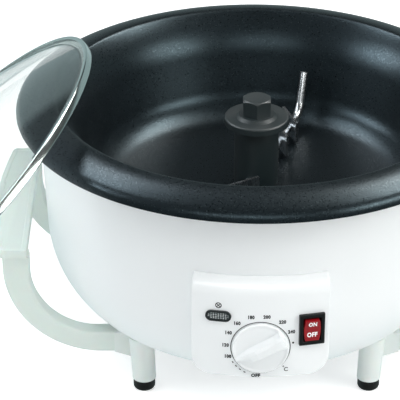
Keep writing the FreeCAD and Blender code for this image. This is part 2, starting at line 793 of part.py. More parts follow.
def handles(envelope):
    """A moulding on each side with two curved arms and a crossbar, and the grip that caps it."""
    arm = new_body("handle_arm")
    side = new_sketch(arm, "XZ_Plane", "-arm_half_span")
    under = "handle_root_level + bracket_depth"
    draw(side, [
        ("handle_root", "handle_root_level"),
        ("handle_outer_x - handle_outer_curve", "handle_root_level"),
        ("handle_outer_x", "handle_root_level + handle_outer_curve", "handle_outer_curve", LEFT),
        ("handle_outer_x", "handle_top_level"),
        ("handle_inner_x", "handle_top_level"),
        ("handle_inner_x", f"{under} + handle_inner_curve"),
        ("handle_inner_x - handle_inner_curve", under, "handle_inner_curve", RIGHT),
        ("handle_root", under)])
    pad(arm, side, "arm_width")
    faces = (value("arm_half_span - arm_width"), value("arm_half_span"))
    root, top = value("handle_root"), value("handle_top_level")

    def long_edge(edge):
        box = edge.BoundBox
        flat = box.YLength < 1e-3 and min(abs(box.YMin - y) for y in faces) < 1e-3
        return flat and box.XMax > root + 1e-3 and box.ZMin < top - 1e-3
    round_edges(arm, "handle_edge_radius", long_edge)
    tongue = new_sketch(arm, "YZ_Plane", "handle_root - tongue_length")
    draw_box(tongue, "arm_width - 2 * tongue_margin", "bracket_depth - 2 * tongue_margin",
             "arm_half_span - arm_width / 2", "handle_root_level + bracket_depth / 2")
    pad(arm, tongue, "tongue_length + tongue_root")
    other = doc.addObject("Part::Mirroring", "handle_arm_twin")
    other.Source = arm
    other.Normal = (0, 1, 0)
    bar = new_body("handle_crossbar")
    across = new_sketch(bar, "XY_Plane", "handle_top_level - crossbar_height")
    draw_box(across, "handle_outer_x - handle_inner_x - 2 * crossbar_inset",
             "2 * arm_half_span - arm_width", "(handle_outer_x + handle_inner_x) / 2", "0")
    pad(bar, across, "crossbar_height")
    moulding = doc.addObject("Part::MultiFuse", "handle_blank")
    moulding.Shapes = [arm, other, bar]
    moulding.Refine = True
    right = keep(cut_by(moulding, envelope, "right_handle"), "right_handle")
    mirrored(right, (1, 0, 0), "left_handle")

    grip = new_body("right_grip")
    plan = new_sketch(grip, "XY_Plane", "handle_top_level")
    bow = "(grip_half_length^2 + grip_bow^2) / (2 * grip_bow)"
    draw(plan, [("grip_inner_x", "-grip_half_length"), ("grip_outer_x", "-grip_half_length"),
                ("grip_outer_x", "grip_half_length", bow, LEFT),
                ("grip_inner_x", "grip_half_length")])
    pad(grip, plan, "grip_thickness")
    half, outside = value("grip_half_length"), value("grip_outer_x")

    def outer_corner(edge):
        box = edge.BoundBox
        upright = box.XLength < 1e-3 and box.YLength < 1e-3
        return upright and abs(box.XMin - outside) < 1e-3 and abs(abs(box.YMin) - half) < 1e-3
    round_edges(grip, "grip_corner_radius", outer_corner)
    crown = value("grip_top")
    round_edges(grip, "grip_edge_radius", lambda edge: edge.BoundBox.ZMin > crown - 1e-3)
    keep(grip, "right_grip")
    mirrored(grip, (1, 0, 0), "left_grip")


# --- Pan, heater and drive -----------------------------------------------------------------------

def roasting_pan():
    """The cast pan: rolled rim, sloping wall, flat floor, spindle post and threaded bosses."""
    body = turned_body("roasting_pan", [
        ("bush_radius", "floor_underside"), ("floor_flat", "floor_underside"),
        ("outer_foot_radius", "outer_foot_level", "outer_corner_radius", LEFT),
        ("seat_inner_radius", "seat_level"),
        ("rim_joint_radius - rim_skirt_wall", "seat_level"),
        ("rim_radius - rim_skirt_wall", "rim_level"), ("rim_radius", "rim_level"),
        ("rim_joint_radius", "rim_joint_level", "rim_shoulder_radius", LEFT),
        ("crest_radius", "crest_level", "rim_crown", LEFT),
        ("pan_mouth_radius", "lip_level", "lip_radius", LEFT),
        ("wall_foot_radius", "floor_level + corner_rise"),
        ("floor_flat", "floor_level", "pan_corner_radius", RIGHT),
        ("spindle_post_radius", "floor_level"), ("spindle_post_radius", "post_top"),
        ("bush_radius", "post_top")])
    boss = draw_circle(new_sketch(body, "XY_Plane", "tie_boss_level"), "tie_boss_radius",
                       "tie_ring_radius")
    bosses = pad(body, boss, "tie_boss_height")
    ring_pattern(body, [bosses], "tie_count")
    thread = draw_circle(new_sketch(body, "XY_Plane", "tie_boss_level"), "tie_radius + fit_gap",
                         "tie_ring_radius")
    holes = pocket(body, thread, "tie_boss_height", forward=True)
    ring_pattern(body, [holes], "tie_count")
    return keep(body, "roasting_pan")


def pan_gasket():
    """The heat-resistant ring between the housing's top edge and the underside of the rim."""
    return keep(tube("pan_gasket", "shell_top_radius", "shell_top_radius - gasket_width",
                     "shell_top", "seat_level"), "pan_gasket")


def heating_element():
    """The tubular heater, an open ring against the pan's floor with two ends turned down."""
    level = "floor_underside - element_radius"
    ring = doc.addObject("Part::Torus", "element_ring")
    bind(ring, "Radius1", "element_ring_radius")
    bind(ring, "Radius2", "element_radius")
    bind(ring, "Angle3", "element_sweep")
    bind(ring, "Placement.Base.z", level)
    pieces = [ring]
    for name, angle in (("start", "0"), ("end", "element_sweep")):
        x = f"element_ring_radius * cos({angle})"
        y = f"element_ring_radius * sin({angle})"
        elbow = doc.addObject("Part::Sphere", "element_elbow_" + name)
        bind(elbow, "Radius", "element_radius")
        pin = doc.addObject("Part::Cylinder", "element_pin_" + name)
        bind(pin, "Radius", "element_radius")
        bind(pin, "Height", "element_drop")
        for piece, lift in ((elbow, "0"), (pin, "element_drop")):
            bind(piece, "Placement.Base.x", x)
            bind(piece, "Placement.Base.y", y)
            bind(piece, "Placement.Base.z", f"{level} - {lift}")
            pieces.append(piece)
    element = doc.addObject("Part::MultiFuse", "heating_element")
    element.Shapes = pieces
    return keep(element, "heating_element")


def heat_shield():
    """The dished sheet-steel reflector under the heater."""
    body = turned_body("heat_shield", [
        ("coupling_radius + shield_hole_margin", "shield_level"), ("shield_floor_radius", "shield_level"),
        ("shield_rim_radius", "shield_level + shield_rim_rise"),
        ("shield_rim_radius + shield_lip", "shield_level + shield_rim_rise"),
        ("shield_rim_radius + shield_lip", "shield_top + shield_rim_rise"),
        ("shield_rim_radius - shield_thickness / 2", "shield_top + shield_rim_rise"),
        ("shield_floor_radius - shield_thickness / 2", "shield_top"),
        ("coupling_radius + shield_hole_margin", "shield_top")])
    tie = draw_circle(new_sketch(body, "XY_Plane", "shield_level"), "tie_radius + fit_gap",
                      "tie_ring_radius")
    ties = pocket(body, tie, "shield_thickness", forward=True)
    ring_pattern(body, [ties], "tie_count")
    pins = new_sketch(body, "XY_Plane", "shield_level")
    draw_circle(pins, "element_radius + element_hole_margin", "element_ring_radius")
    draw_circle(pins, "element_radius + element_hole_margin", "element_ring_radius * cos(element_sweep)",
                "element_ring_radius * sin(element_sweep)")
    pocket(body, pins, "shield_thickness", forward=True)
    return keep(body, "heat_shield")


def pan_ties():
    """Three long screws that clamp base, spacers, shield and pan, and the spacers on them."""
    body = new_body("tie_screws")
    head = draw_circle(new_sketch(body, "XY_Plane", "base_underside"), "tie_head_radius",
                       "tie_ring_radius")
    heads = pad(body, head, "screw_head_height", back=True)
    rod = draw_circle(new_sketch(body, "XY_Plane", "base_underside"), "tie_radius",
                      "tie_ring_radius")
    rods = pad(body, rod, "floor_underside - base_underside - tie_tip_margin")
    ring_pattern(body, [heads, rods], "tie_count")
    keep(body, "tie_screws")
    for label, low, high in (("shield_spacers", "base_level", "shield_level"),
                             ("pan_spacers", "shield_top", "tie_boss_level")):
        spacer = new_body(label)
        ring = new_sketch(spacer, "XY_Plane", low)
        draw_circle(ring, "spacer_radius", "tie_ring_radius")
        draw_circle(ring, "tie_radius + fit_gap", "tie_ring_radius")
        sleeve = pad(spacer, ring, f"{high} - ({low})")
        ring_pattern(spacer, [sleeve], "tie_count")
        keep(spacer, label)


def gear_motor():
    """The round gear motor hung under its bracket, with the bracket and their screws."""
    motor = turned_body("gear_motor", [
        ("spindle_radius + bearing_gap", "motor_base"), ("motor_radius", "motor_base"),
        ("motor_radius", "bracket_level"), ("motor_bore_radius - fit_gap", "bracket_level"),
        ("motor_bore_radius - fit_gap", "bracket_top + motor_nose"),
        ("spindle_radius + bearing_gap", "bracket_top + motor_nose")])
    threads = new_sketch(motor, "XY_Plane", "bracket_level")
    for x in ("motor_screw_offset", "-motor_screw_offset"):
        draw_circle(threads, "hole_radius", x)
    pocket(motor, threads, "motor_thread_depth")
    keep(motor, "gear_motor")

    bracket = new_body("motor_bracket")
    hat = new_sketch(bracket, "XZ_Plane")
    leg, thick, foot = "bracket_span / 2", "bracket_thickness", "bracket_foot"
    draw(hat, [
        (f"-{leg} - {foot}", "base_level"), (f"-{leg} + {thick}", "base_level"),
        (f"-{leg} + {thick}", "bracket_level"), (f"{leg} - {thick}", "bracket_level"),
        (f"{leg} - {thick}", "base_level"), (f"{leg} + {foot}", "base_level"),
        (f"{leg} + {foot}", f"base_level + {thick}"), (leg, f"base_level + {thick}"),
        (leg, "bracket_top"), (f"-{leg}", "bracket_top"),
        (f"-{leg}", f"base_level + {thick}"), (f"-{leg} - {foot}", f"base_level + {thick}")])
    pad(bracket, hat, "bracket_width", middle=True)
    bore = draw_circle(new_sketch(bracket, "XY_Plane", "bracket_level"), "motor_bore_radius")
    for x in ("motor_screw_offset", "-motor_screw_offset"):
        draw_circle(bore, "hole_radius", x)
    pocket(bracket, bore, "bracket_thickness", forward=True)
    screw_x = f"{leg} + {foot} / 2"
    feet = new_sketch(bracket, "XY_Plane", "base_level")
    draw_circle(feet, "hole_radius", screw_x)
    draw_circle(feet, "hole_radius", f"-({screw_x})")
    pocket(bracket, feet, "bracket_thickness", forward=True)
    keep(bracket, "motor_bracket")

    for label, x, seat, length in (
            ("bracket_screws", screw_x, f"base_level + {thick}", thick),
            ("motor_screws", "motor_screw_offset", "bracket_top", f"{thick} + motor_screw_reach")):
        screws = new_body(label)
        heads = new_sketch(screws, "XY_Plane", seat)
        shanks = new_sketch(screws, "XY_Plane", seat)
        for place in (x, f"-({x})"):
            draw_circle(heads, "screw_head_radius", place)
            draw_circle(shanks, "screw_radius", place)
        pad(screws, heads, "screw_head_height")
        pad(screws, shanks, length, back=True)
        keep(screws, label)


def drive_train():
    """Motor spindle, coupling and shaft on the pan's axis, with the bush and seal they run in."""
    keep(tube("drive_shaft", "shaft_radius", "0", "coupling_middle", "shaft_top"), "drive_shaft")
    keep(tube("motor_spindle", "spindle_radius", "0", "motor_base + spindle_foot",
              "coupling_middle"), "motor_spindle")
    keep(turned_body("shaft_coupling", [
        ("spindle_radius", "coupling_base"), ("coupling_radius", "coupling_base"),
        ("coupling_radius", "coupling_top"), ("shaft_radius", "coupling_top"),
        ("shaft_radius", "coupling_middle"), ("spindle_radius", "coupling_middle")]),
        "shaft_coupling")
    flange = "floor_underside - bush_flange_thickness"
    keep(turned_body("shaft_bush", [
        ("shaft_radius + bearing_gap", flange), ("bush_radius + bush_flange_width", flange),
        ("bush_radius + bush_flange_width", "floor_underside"),
        ("bush_radius", "floor_underside"), ("bush_radius", "post_top"),
        ("shaft_radius + bearing_gap", "post_top")]), "shaft_bush")
    keep(tube("shaft_seal", "spindle_post_radius - seal_inset", "shaft_radius + moving_gap",
              "post_top", "post_top + seal_height"), "shaft_seal")


# --- Stirrer -------------------------------------------------------------------------------------

def stirrer():
    """The hub sleeve over the pan's post, its top disc and hexagonal cap, and two bladed arms."""
    bore = "spindle_post_radius + hub_clearance"
    keep(turned_body("stirrer_hub", [
        (bore, "hub_foot"), ("hub_radius", "hub_foot"), ("hub_radius", "hub_top"),
        ("shaft_radius", "hub_top"), ("shaft_radius", "hub_top - hub_web"),
        (bore, "hub_top - hub_web")]), "stirrer_hub")
    boss = "cap_radius + disc_boss_margin"
    disc = turned_body("hub_disc", [
        ("shaft_radius", "hub_top"), ("flange_disc_radius", "hub_top"),
        ("flange_disc_radius", "disc_top"), (f"{boss} + disc_boss_height", "disc_top"),
        (boss, "boss_top"), ("shaft_radius", "boss_top")])
    round_edges(disc, "disc_edge_radius", level_circle(value("disc_top"), value("flange_disc_radius")))
    keep(disc, "hub_disc")

    cap = new_body("hex_cap")
    hexagon = new_sketch(cap, "XY_Plane", "boss_top")
    draw(hexagon, [(f"cap_radius * cos({turn})", f"cap_radius * sin({turn})")
                   for turn in range(30, 390, 60)])
    pad(cap, hexagon, "cap_height")
    bevel = new_sketch(cap, "XZ_Plane")
    flat = "cap_radius * cos(30)"
    draw(bevel, [(f"{flat} - cap_bevel_inset", "cap_top"),
                 ("cap_radius + cap_bevel_reach", "cap_top"),
                 ("cap_radius + cap_bevel_reach", "cap_top - cap_bevel_drop")])
    revolve(cap, bevel, cut=True)
    thread = draw_circle(new_sketch(cap, "XY_Plane", "boss_top"), "shaft_radius")
    pocket(cap, thread, "shaft_top - boss_top", forward=True)
    keep(cap, "hex_cap")

    level = "hub_foot + arm_level - hub_floor_gap"
    arm = new_body("stirrer_arm")
    spine = new_sketch(arm, "XZ_Plane")
    half = "arm_tip_lean / 2"
    cut = f"arm_bend_radius * tan({half})"
    draw(spine, [
        ("hub_radius", level), (f"arm_reach - {cut}", level),
        (f"arm_reach + {cut} * cos(arm_tip_lean)", f"{level} + {cut} * sin(arm_tip_lean)",
         "arm_bend_radius", LEFT),
        ("arm_reach + arm_tip_rise / tan(arm_tip_lean)", f"{level} + arm_tip_rise")],
        closed=False)
    rod = draw_circle(new_sketch(arm, "YZ_Plane", "hub_radius"), "arm_radius", "0", level)
    pipe = arm.newObject("PartDesign::AdditivePipe", "stirrer_arm_bar")
    pipe.Profile = rod
    pipe.Spine = (spine, [f"Edge{i}" for i in range(1, 4)])
    doc.recompute()
    for share in ("blade_near_share", "blade_middle_share", "blade_far_share"):
        blade = blade_plan(arm, share)
        pad(arm, blade, "blade_height")
    twin = doc.addObject("Part::Mirroring", "stirrer_arm_twin")
    twin.Source = arm
    twin.Normal = (1, 0, 0)
    for label, source in (("stirrer_arm_a", arm), ("stirrer_arm_b", twin)):
        turned = doc.addObject("Part::Compound", label)
        turned.Links = [source]
        swing(turned, "arm_turn")
        keep(turned, label)


def blade_plan(arm, share):
    """The plan of one scraper blade, set across the arm at a share of its reach."""
    plan = new_sketch(arm, "XY_Plane", "floor_level + blade_floor_gap", "blade_twist")
    x = f"arm_reach * {share} * cos(blade_twist)"
    y = f"-arm_reach * {share} * sin(blade_twist)"
    draw_box(plan, "blade_length", "blade_thickness", x, y)
    return plan


# --- Control panel -------------------------------------------------------------------------------

def control_panel(envelope):
    """The curved panel that stands proud of the housing, with its openings."""
    block = new_body("panel_block")
    face = new_sketch(block, "XZ_Plane")
    draw(face, [("shell_bottom_radius", "panel_bottom"), ("panel_radius", "panel_bottom"),
                ("panel_radius", "panel_top - panel_bevel"),
                ("panel_radius - panel_bevel_run", "panel_top", "panel_bevel_curve", LEFT),
                ("shell_bottom_radius", "panel_top")])
    revolve(block, face, "2 * panel_half_angle")
    low, radius = value("panel_bottom"), value("panel_corner_radius")

    def lower_corner(edge):
        box = edge.BoundBox
        return box.ZMax < low + 1e-3 and box.XLength > radius
    round_edges(block, "panel_corner_radius", lower_corner)
    edge_reach = value("panel_radius - panel_bevel_run") - 1e-3

    def front_edge(edge):
        spots = [edge.valueAt(edge.FirstParameter + share * (edge.LastParameter
                                                             - edge.FirstParameter))
                 for share in (0, 0.5, 1)]
        level = [spot.z for spot in spots]
        across = max(level) - min(level) < 1e-3 and min(level) > low + 1e-3
        return min(math.hypot(spot.x, spot.y) for spot in spots) > edge_reach and not across
    round_edges(block, "panel_edge_radius", front_edge)
    hollow = new_sketch(block, "XZ_Plane")
    draw(hollow, [("shell_bottom_radius - panel_lap", "panel_bottom + panel_wall"),
                  ("panel_radius - panel_wall", "panel_bottom + panel_wall"),
                  ("panel_radius - panel_wall", "panel_top - panel_bevel - panel_lap"),
                  ("panel_radius - panel_bevel_run - panel_wall", "panel_top - panel_wall"),
                  ("shell_bottom_radius - panel_lap", "panel_top - panel_wall")])
    revolve(block, hollow, "2 * (panel_half_angle - panel_end_angle)", cut=True)
    swing(block, "-90")
    trimmed = cut_by(block, envelope, "panel_trimmed")
    openings = [opening(name, *args) for name, *args in (
        ("knob_hole", "0", "knob_level"),
        ("switch_hole", "switch_turn", "switch_level"),
        ("lamp_hole", "lamp_turn", "lamp_level"))]
    tool = doc.addObject("Part::MultiFuse", "panel_openings")
    tool.Shapes = openings
    return keep(cut_by(trimmed, tool, "control_panel"), "control_panel")


def opening(name, turn, level):
    """The cutting tool for one opening of the panel, set at its angle about the pan's axis."""
    body = new_body(name)
    sketch = new_sketch(body, "XZ_Plane", "panel_radius - 3 * panel_wall")
    bind(sketch, "AttachmentOffset.Base.y", level)
    if name == "knob_hole":
        draw_circle(sketch, "thermostat_bush_radius")
    elif name == "switch_hole":
        draw_box(sketch, "switch_body_width + 2 * fit_gap", "switch_body_height + 2 * fit_gap")
    else:
        draw_slot(sketch, "lamp_width - 2 * lamp_rim + 2 * fit_gap",
                  "lamp_height - 2 * lamp_rim + 2 * fit_gap")
    pad(body, sketch, "5 * panel_wall")
    swing(body, turn)
    return body


def front_disc(body, radius, start, length, level="knob_level"):
    """Pad a disc towards the front from a distance before the pan's axis."""
    disc = draw_circle(new_sketch(body, "XZ_Plane", start), radius, "0", level)
    return pad(body, disc, length)


def thermostat_and_knob():
    """The thermostat behind the panel, its spindle, and the turned knob with a raised bar."""
    box = new_body("thermostat")
    inside = "thermostat_front"
    back = new_sketch(box, "XZ_Plane", f"{inside} - thermostat_depth")
    draw_box(back, "thermostat_width", "thermostat_height", "0", "knob_level")
    pad(box, back, "thermostat_depth")
    front_disc(box, "thermostat_bush_radius", inside, "panel_radius - thermostat_front")
    bore = draw_circle(new_sketch(box, "XZ_Plane", f"{inside} - thermostat_depth / 2"),
                       "spindle_radius + bearing_gap", "0", "knob_level")
    pocket(box, bore, "thermostat_depth / 2 + panel_radius - thermostat_front", forward=True)
    keep(box, "thermostat")

    spindle = new_body("thermostat_spindle")
    start = f"{inside} - thermostat_depth / 2 + hole_relief"
    front_disc(spindle, "spindle_radius", start, f"spindle_tip - ({start})")
    keep(spindle, "thermostat_spindle")

    knob = new_body("temperature_knob")
    front_disc(knob, "knob_radius", "knob_back", "knob_thickness")
    front = -value("knob_face")
    round_edges(knob, "knob_edge_radius", lambda edge: edge.BoundBox.YMax < front + 1e-3)
    bar = new_sketch(knob, "XZ_Plane", "knob_back", "knob_turn")
    run = "knob_radius - knob_bar_inset"
    x = "knob_level * sin(knob_turn)"
    y = "knob_level * cos(knob_turn)"
    draw(bar, [(f"{x} - ({run})", f"{y} - knob_bar_tip / 2"),
               (f"{x} - knob_bar_waist", f"{y} - knob_bar_width / 2"),
               (f"{x} + knob_bar_waist", f"{y} - knob_bar_width / 2"),
               (f"{x} + {run}", f"{y} - knob_bar_end / 2"),
               (f"{x} + {run}", f"{y} + knob_bar_end / 2"),
               (f"{x} + knob_bar_waist", f"{y} + knob_bar_width / 2"),
               (f"{x} - knob_bar_waist", f"{y} + knob_bar_width / 2"),
               (f"{x} - ({run})", f"{y} + knob_bar_tip / 2")])
    pad(knob, bar, "knob_thickness + knob_bar_height")
    crown = -value("knob_face + knob_bar_height")
    round_edges(knob, "knob_bar_edge", lambda edge: edge.BoundBox.YMax < crown + 1e-3)
    rim = new_sketch(knob, "XZ_Plane", "knob_face - knob_edge_radius")
    draw_circle(rim, "2 * knob_radius", "0", "knob_level")
    draw_circle(rim, "knob_radius - knob_bar_inset", "0", "knob_level")
    pocket(knob, rim, "2 * knob_bar_height", forward=True)
    socket = draw_circle(new_sketch(knob, "XZ_Plane", "knob_back"), "spindle_radius", "0",
                         "knob_level")
    pocket(knob, socket, "spindle_tip - knob_back", forward=True)
    keep(knob, "temperature_knob")


def power_switch():
    """The rocker switch: housing with bezel, two blade terminals, the rocker and its pin."""
    housing = new_body("switch_housing")
    flange = new_sketch(housing, "XZ_Plane", "bezel_back")
    draw_box(flange, "bezel_width", "bezel_height", "0", "switch_level")
    pad(housing, flange, "bezel_thickness")
    core = new_sketch(housing, "XZ_Plane", "bezel_back - switch_body_depth")
    draw_box(core, "switch_body_width", "switch_body_height", "0", "switch_level")
    pad(housing, core, "switch_body_depth")
    well = new_sketch(housing, "XZ_Plane", "bezel_face")
    draw_box(well, "rocker_width + 2 * moving_gap", "rocker_height + 2 * moving_gap", "0",
             "switch_level")
    pocket(housing, well, "rocker_well_depth")
    bore = draw_circle(new_sketch(housing, "YZ_Plane"), "pin_radius + bearing_gap",
                       "-rocker_pivot", "switch_level")
    pocket(housing, bore, "switch_body_width + 2 * moving_gap", middle=True)
    swing(housing, "switch_turn")
    keep(housing, "switch_housing")

    blades = new_body("switch_terminals")
    ends = new_sketch(blades, "XZ_Plane", "bezel_back - switch_body_depth - terminal_length")
    draw_box(ends, "terminal_width", "terminal_thickness", "0",
             "switch_level + terminal_offset")
    draw_box(ends, "terminal_width", "terminal_thickness", "0",
             "switch_level - terminal_offset")
    pad(blades, ends, "terminal_length")
    swing(blades, "switch_turn")
    keep(blades, "switch_terminals")

    key = new_body("rocker_side")
    side = new_sketch(key, "YZ_Plane")
    pivot = "-rocker_pivot"
    half = "rocker_height / 2 - rocker_end_inset"
    draw(side, [
        (f"{pivot} - rocker_middle_rise", "switch_level"),
        (f"{pivot} - rocker_end_rise", f"switch_level - ({half})"),
        (f"{pivot} + rocker_end_depth", f"switch_level - ({half})"),
        (f"{pivot} + rocker_keel_depth", "switch_level - rocker_keel_height / 2"),
        (f"{pivot} + rocker_keel_depth", "switch_level + rocker_keel_height / 2"),
        (f"{pivot} + rocker_end_depth", f"switch_level + {half}"),
        (f"{pivot} - rocker_end_rise", f"switch_level + {half}")])
    pad(key, side, "rocker_width", middle=True)
    barrel = new_body("rocker_front")
    front = new_sketch(barrel, "XZ_Plane", "rocker_pivot - rocker_keel_depth - rocker_end_depth")
    edge = "rocker_width / 2 - rocker_side_bow"
    bow = f"(({half})^2 + rocker_side_bow^2) / (2 * rocker_side_bow)"
    low, high = f"switch_level - ({half})", f"switch_level + {half}"
    draw(front, [(f"-({edge})", low, bow, LEFT), (edge, low), (edge, high, bow, LEFT),
                 (f"-({edge})", high)])
    pad(barrel, front, "2 * rocker_keel_depth + rocker_end_rise")
    rod = new_body("rocker_rod")
    round_bar = draw_circle(new_sketch(rod, "YZ_Plane"), "pin_radius", pivot, "switch_level")
    pad(rod, round_bar, "rocker_width + 2 * moving_gap + 2 * pin_reach", middle=True)
    shaped = doc.addObject("Part::Common", "rocker_shaped")
    shaped.Base = key
    shaped.Tool = barrel
    pin = doc.addObject("Part::Compound", "rocker_pin")
    pin.Links = [rod]
    for piece in (cut_by(shaped, rod, "rocker"), pin):
        keep(piece, piece.Name)
        tilt_rocker(piece)


def tilt_rocker(piece):
    """Set a piece of the rocker with the lower end pressed in, at the switch's angle."""
    pivot = FreeCAD.Vector(0, -value("rocker_pivot"), value("switch_level"))
    tip = FreeCAD.Rotation(FreeCAD.Vector(1, 0, 0), value("rocker_tilt"))
    turn = FreeCAD.Rotation(FreeCAD.Vector(0, 0, 1), value("switch_turn"))
    tipped = FreeCAD.Placement(FreeCAD.Vector(), tip, pivot)
    piece.Placement = FreeCAD.Placement(FreeCAD.Vector(), turn) * tipped


def indicator_lamp():
    """The oval lamp: a dark rim in the panel, a ribbed lens in the rim and the neon behind."""
    rim = new_body("lamp_rim")
    face = new_sketch(rim, "XZ_Plane", "bezel_back")
    bind(face, "AttachmentOffset.Base.y", "lamp_level")
    draw_slot(face, "lamp_width", "lamp_height")
    pad(rim, face, "lamp_stand")
    sleeve = new_sketch(rim, "XZ_Plane", "bezel_back - lamp_depth")
    bind(sleeve, "AttachmentOffset.Base.y", "lamp_level")
    draw_slot(sleeve, "lamp_width - 2 * lamp_rim", "lamp_height - 2 * lamp_rim")
    pad(rim, sleeve, "lamp_depth")
    well = new_sketch(rim, "XZ_Plane", "bezel_back + lamp_stand")
    bind(well, "AttachmentOffset.Base.y", "lamp_level")
    draw_slot(well, "lamp_width - 2 * (lamp_rim + lamp_wall)",
              "lamp_height - 2 * (lamp_rim + lamp_wall)")
    pocket(rim, well, "lamp_depth + lamp_stand")
    swing(rim, "lamp_turn")
    keep(rim, "lamp_rim")

    lens = new_body("lamp_lens")
    window = new_sketch(lens, "XZ_Plane", "bezel_back - lens_depth")
    bind(window, "AttachmentOffset.Base.y", "lamp_level")
    draw_slot(window, "lamp_width - 2 * (lamp_rim + lamp_wall)",
              "lamp_height - 2 * (lamp_rim + lamp_wall)")
    pad(lens, window, "lens_depth + lamp_stand")
    swing(lens, "lamp_turn")
    keep(lens, "lamp_lens")

    neon = new_body("lamp_neon")
    front_disc(neon, "neon_radius", "bezel_back - lamp_depth - neon_tail", "neon_length",
               "lamp_level")
    swing(neon, "lamp_turn")
    keep(neon, "lamp_neon")


# --- Rear inlet ----------------------------------------------------------------------------------

def cord_inlet():
    """The flanged cord gland in the back of the housing and the terminal block inside."""
    gland = new_body("cord_gland")
    flange = draw_circle(new_sketch(gland, "XZ_Plane", "-inlet_seat"),
                         "inlet_flange_radius", "0", "inlet_level")
    pad(gland, flange, "inlet_flange_thickness", back=True)
    neck = draw_circle(new_sketch(gland, "XZ_Plane", "-inlet_seat"), "inlet_radius", "0",
                       "inlet_level")
    pad(gland, neck, "inlet_depth")
    rim = value("inlet_seat + inlet_flange_thickness")
    round_edges(gland, "inlet_edge_radius", lambda edge: edge.BoundBox.YMin > rim - 1e-3)
    bore = draw_circle(new_sketch(gland, "XZ_Plane", "inlet_depth - inlet_seat"),
                       "inlet_bore_radius", "0", "inlet_level")
    pocket(gland, bore, "inlet_depth + inlet_flange_thickness")
    keep(gland, "cord_gland")

    block = new_body("terminal_block")
    plan = new_sketch(block, "XY_Plane", "base_level")
    draw_box(plan, "block_length", "block_width", "-block_offset", "block_offset")
    pad(block, plan, "block_height")
    keep(block, "terminal_block")


# --- Lid -----------------------------------------------------------------------------------------

def lid_frame(reach):
    """The lid's placement when its centre is this far from the pan's axis along its lean."""
    lean, swing_angle = value("lid_lean_angle"), value("lid_swing_angle")
    turn = FreeCAD.Rotation(FreeCAD.Vector(0, 0, 1), -swing_angle)
    tilt = FreeCAD.Rotation(FreeCAD.Vector(0, 1, 0), -lean)
    rise = value("lid_radius") * math.sin(math.radians(lean))
    centre = turn.multVec(FreeCAD.Vector(-reach, value("lid_shift"), rise))
    return FreeCAD.Placement(centre, turn * tilt)


def rim_points():
    """Points over the outer half of the pan's rim on the side where the lid leans."""
    points = []
    for step in range(0, 11):
        along = math.radians(9 * step)
        radius = value("crest_radius") + value("rim_width") * math.cos(along)
        level = value("rim_level") + value("rim_height") * math.sin(along)
        for turn in range(90, 272, 2):
            angle = math.radians(turn)
            points.append(FreeCAD.Vector(radius * math.cos(angle), radius * math.sin(angle),
                                         level))
    return points


def lid_reach():
    """The nearest that the leaning lid's centre comes before the lid meets the pan's rim."""
    radius, inner, wanted = value("lid_radius"), value("lid_inner"), value("lid_rest_gap")
    dome, base = value("dome_radius"), value("glass_level")
    drop = dome - value("lid_rise")

    def underside(distance):
        if distance > inner:
            return 0.0
        return base + math.sqrt(dome * dome - distance * distance) - drop

    points = rim_points()
    near = value("rim_radius") - radius / 2
    far = value("rim_radius") + 2 * radius
    for _ in range(24):
        middle = (near + far) / 2
        inverse = lid_frame(middle).inverse()
        gap = far
        for point in points:
            local = inverse.multVec(point)
            distance = math.hypot(local.x, local.y)
            if distance < radius + wanted:
                gap = min(gap, underside(distance) - local.z)
        if gap > wanted:
            far = middle
        else:
            near = middle
    return far


def glass_lid():
    """The domed glass lid in its steel band, with knob, washer and screw, leaning on the rim."""
    seat = "glass_level + lid_glass"
    outer_dome = "dome_radius + lid_glass"
    lip = "lid_inner + lid_band_width - lid_band_wall"
    glass = turned_body("lid_glass", [
        ("lid_hole_radius", "glass_level + lid_rise - (dome_radius - sqrt(dome_radius^2 - "
                            "lid_hole_radius^2))"),
        ("lid_inner", "glass_level", "dome_radius", RIGHT),
        (lip, "glass_level"), (lip, seat),
        ("lid_inner + lid_band_lap", seat),
        ("lid_hole_radius", "glass_level + lid_rise + lid_glass - (dome_radius - "
                            "sqrt(dome_radius^2 - lid_hole_radius^2))", outer_dome, LEFT)])
    band = turned_body("lid_band", [
        ("lid_inner", "0"), ("lid_radius", "0"), ("lid_radius", "lid_band_height"),
        ("lid_inner + lid_band_lap", "lid_band_height"), ("lid_inner + lid_band_lap", seat), (lip, seat),
        (lip, "glass_level"), ("lid_inner", "glass_level")])
    knob = turned_body("lid_knob", [
        ("screw_radius + fit_gap", "dome_top"), ("lid_knob_base_radius", "dome_top"),
        ("lid_knob_base_radius", "dome_top + lid_knob_foot"),
        ("lid_knob_neck_radius", "dome_top + lid_knob_neck_start"),
        ("lid_knob_neck_radius", "dome_top + lid_knob_neck_end"),
        ("lid_knob_radius", "dome_top + lid_knob_shoulder"),
        ("lid_knob_radius", "knob_crown - lid_knob_edge"),
        ("lid_knob_radius - lid_knob_edge", "knob_crown"),
        ("0", "knob_crown + lid_knob_crown"), ("0", "dome_top + lid_knob_bore"),
        ("screw_radius + fit_gap", "dome_top + lid_knob_bore")])
    washer = tube("lid_washer", "lid_knob_base_radius - washer_margin", "screw_radius + fit_gap",
                  "washer_base", "washer_base + washer_thickness")
    screw = turned_body("lid_screw", [
        ("0", "washer_base - screw_head_height"),
        ("lid_screw_head_radius", "washer_base - screw_head_height"),
        ("lid_screw_head_radius", "washer_base"), ("screw_radius", "washer_base"),
        ("screw_radius", "dome_top + lid_screw_length"), ("0", "dome_top + lid_screw_length")])
    frame = lid_frame(lid_reach())
    for label, piece in (("lid_glass", glass), ("lid_band", band), ("lid_knob", knob),
                         ("lid_washer", washer), ("lid_screw", screw)):
        piece.Placement = frame
        keep(piece, label)


# --- Build, check and write ----------------------------------------------------------------------

